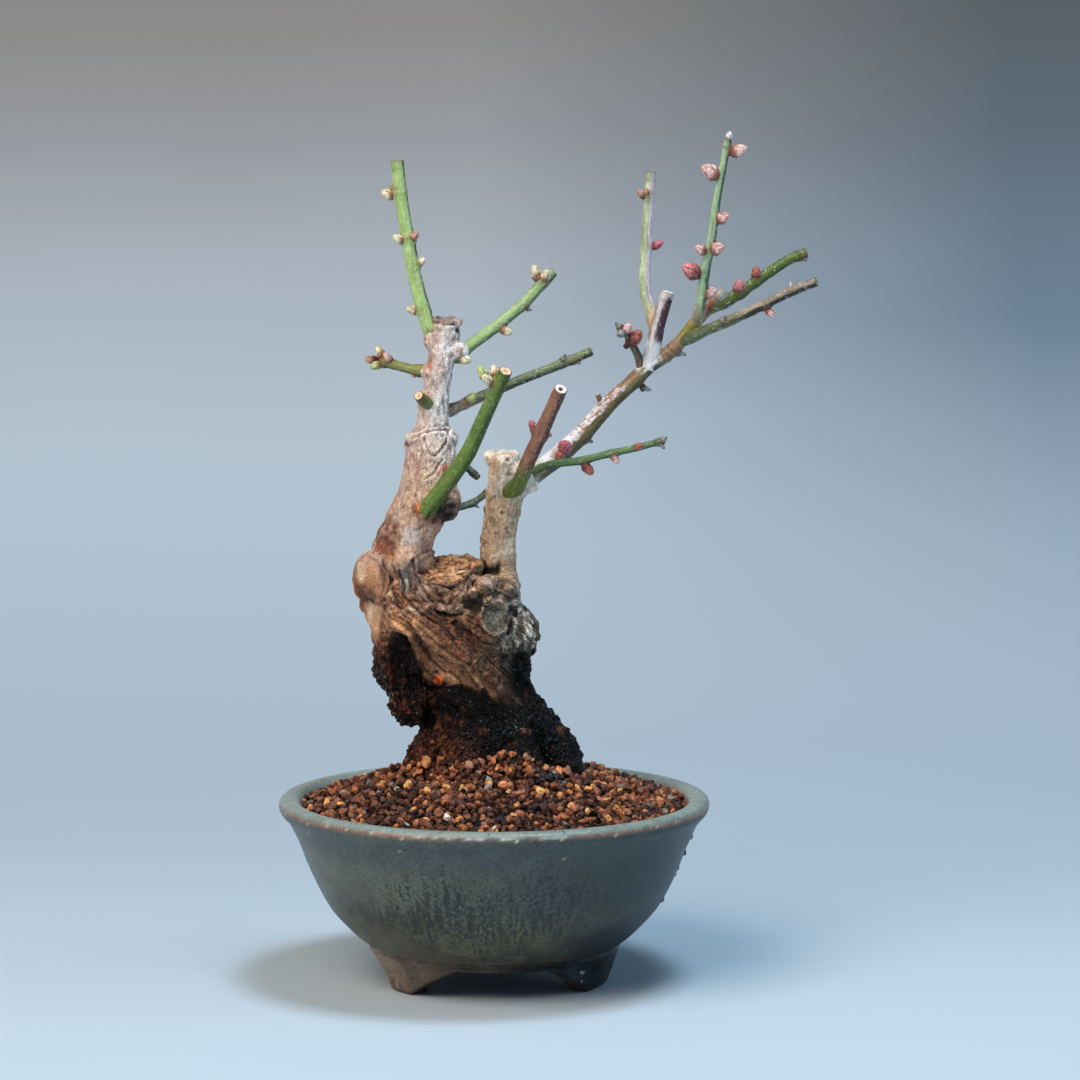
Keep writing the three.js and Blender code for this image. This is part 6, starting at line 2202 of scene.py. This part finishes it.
def stem_paint(points, ring, share, length, skin, look, seed):
    """Colour, roughness and raised powder of a stem's skin."""
    count = points.shape[:2]
    share = share * np.ones(count)
    along = share * length
    patch = layered_noise(points, 3.0, seed + 1)
    fine = noise(points, 0.8, seed + 2)
    color = np.tile(tone(*skin["skin"]), (*count, 1)) * (1 + 0.28 * patch + 0.14 * fine)[..., None]
    # The second tone on the side given by the look: on most stems painted shade on the lower or right side.
    facing = ring @ unit(np.array(skin["side"], float)) + 0.3 * patch + 0.15 * fine
    amount = smooth_step(1 - 2 * skin["take"], 1 - 2 * skin["take"] + 0.4, facing)
    color = lay(color, tone(*skin["second"]), amount)
    rough = np.full(count, 0.44) + 0.1 * amount
    raised = np.zeros(count)
    root = 1 - smooth_step(skin["root_share"] * 0.6, skin["root_share"] * 1.25 + 0.02, share + 0.06 * patch)
    color = lay(color, tone(*skin["root"]), root)
    if look == "white_coat":
        upper = ring @ unit(np.array((-0.7, -0.2, 0.68)))
        color, coat = coat_paint(color, share, along, upper, patch, fine)
        scar = bell(along, 0.92 * length, 1.5) * smooth_step(0.3, 0.75, -ring[..., 1])
        color = lay(color, tone(150, 56, 40), scar)
        raised = 0.16 * coat + 0.12 * coat * noise(points, 0.7, seed + 8) - 0.25 * scar
        raised += 0.3 * bell(along, 0.7 * length, 0.5)
        rough = mix(rough, 0.92, coat)
    if look == "purple_stub":
        left = smooth_step(0.55, 0.8, -ring[..., 0] + 0.25 * patch) * (1 - smooth_step(0.8, 0.9, share))
        color = lay(color, tone(148, 116, 92), 0.8 * left)
        color = lay(color, tone(236, 236, 240), smooth_step(0.0, 0.1, 0.42 - share + 0.08 * patch))
        ragged = smooth_step(0.93, 0.97, share + 0.05 * fine)
        color = lay(color, tone(230, 228, 224), ragged)
        raised = 0.2 * ragged * fine
        rough = rough + 0.2
    if look == "small_stub":
        color = lay(color, tone(120, 78, 54), 0.7 * smooth_step(0.7, 0.85, share))
    ends = smooth_step(length - 2.2, length - 0.6, along)
    color = lay(color, color * 0.7, ends)
    return np.clip(color, 0.004, 1), np.clip(rough, 0.2, 0.95), raised


def build_stem(name, stem, material, seed):
    shape = Shape()
    add_stem(shape, stem["path"], stem["radii"], stem["look"], stem["buds"], seed)
    for i, (path, radii) in enumerate(stem.get("forks", ())):
        add_stem(shape, path, radii, "purple_stub", (), seed + 500 + i, fork=True)
    return make_piece(name + "_bark", shape.mesh(name, grown=True), material, [name])


# Stage, light and camera

FLOOR_TONE = (0.555, 0.69, 0.8)
BACKDROP_BOTTOM = (175, 194, 211)
BACKDROP_TOP = (84, 85, 86)
BACKDROP_TONES = (
    # share of the height and the tone there
    (0.1, (177, 195, 209)),
    (0.18, (177, 192, 205)),
    (0.32, (166, 176, 186)),
    (0.43, (149, 152, 157)),
    (0.53, (139, 138, 137)),
)


def build_stage():
    """A pale sweep: a floor that curves up into a far backdrop, which glows and darkens to its top."""
    turn = np.linspace(0, math.pi / 2, 25)
    depths = np.concatenate([np.linspace(-2500, 450, 12), 450 + 700 * np.sin(turn[1:]), np.full(8, 1150)])
    lifts = np.concatenate([np.zeros(12), 700 * (1 - np.cos(turn[1:])), np.linspace(800, 3000, 8)])
    columns = np.linspace(-2600, 2600, 27)
    points = [(x, y, z) for y, z in zip(depths, lifts) for x in columns]
    width = len(columns)
    faces = [(i * width + j, i * width + j + 1, (i + 1) * width + j + 1, (i + 1) * width + j)
             for i in range(len(depths) - 1) for j in range(width - 1)]
    mesh = bpy.data.meshes.new("sweep")
    mesh.from_pydata((np.array(points) * MM).tolist(), [], faces)
    mesh.polygons.foreach_set("use_smooth", np.ones(len(mesh.polygons), bool))
    sweep = bpy.data.objects.new("sweep", mesh)
    bpy.context.scene.collection.objects.link(sweep)
    mesh.materials.append(sweep_material())


def add_light(name, place, aim, size, power, color):
    light = bpy.data.lights.new(name, "AREA")
    light.shape = "RECTANGLE"
    light.size, light.size_y = size
    light.energy = power
    light.color = color
    lamp = bpy.data.objects.new(name, light)
    lamp.location = Vector(place)
    lamp.rotation_euler = (Vector(aim) - Vector(place)).to_track_quat("-Z", "Y").to_euler()
    bpy.context.scene.collection.objects.link(lamp)


def build_lights():
    aim = (0.0, 0.0, 0.12)
    add_light("left_box", (-0.78, -1.0, 1.3), aim, (1.1, 1.1), 26.0, (1.0, 0.82, 0.66))
    add_light("top_box", (0.26, -0.2, 1.35), aim, (0.34, 0.34), 10.0, (0.72, 0.87, 1.0))
    add_light("right_box", (1.2, -0.1, 0.55), aim, (0.5, 0.9), 2.7, (0.62, 0.83, 1.0))
    world = bpy.data.worlds.new("world")
    world.use_nodes = True
    world.node_tree.nodes["Background"].inputs["Color"].default_value = (*tone(154, 189, 216), 1)
    world.node_tree.nodes["Background"].inputs["Strength"].default_value = 0.27
    bpy.context.scene.world = world
    bpy.context.scene.view_settings.view_transform = "Standard"


def build_camera():
    camera = bpy.data.cameras.new("camera")
    camera.lens = LENS
    camera.sensor_width = SENSOR
    camera.clip_end = 50
    eye = bpy.data.objects.new("camera", camera)
    target = Vector(CAMERA_TARGET) * MM + Vector(POT_AXIS)
    back = Vector((0, -math.cos(TILT), math.sin(TILT)))
    eye.location = target + back * CAMERA_DISTANCE * MM
    eye.rotation_euler = (-back).to_track_quat("-Z", "Y").to_euler()
    bpy.context.scene.collection.objects.link(eye)
    bpy.context.scene.camera = eye


build_camera()
build_lights()
build_stage()
build_pot(glaze_material())
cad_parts["drain_mesh"].data.materials.clear()
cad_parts["drain_mesh"].data.materials.append(net_material())
trunk = build_trunk(bark_material())
build_soil(soil_material(), trunk)
bark = stem_material()
for number, (stem_name, stem) in enumerate(STEMS.items()):
    build_stem(stem_name, stem, bark, 200 + 13 * number)
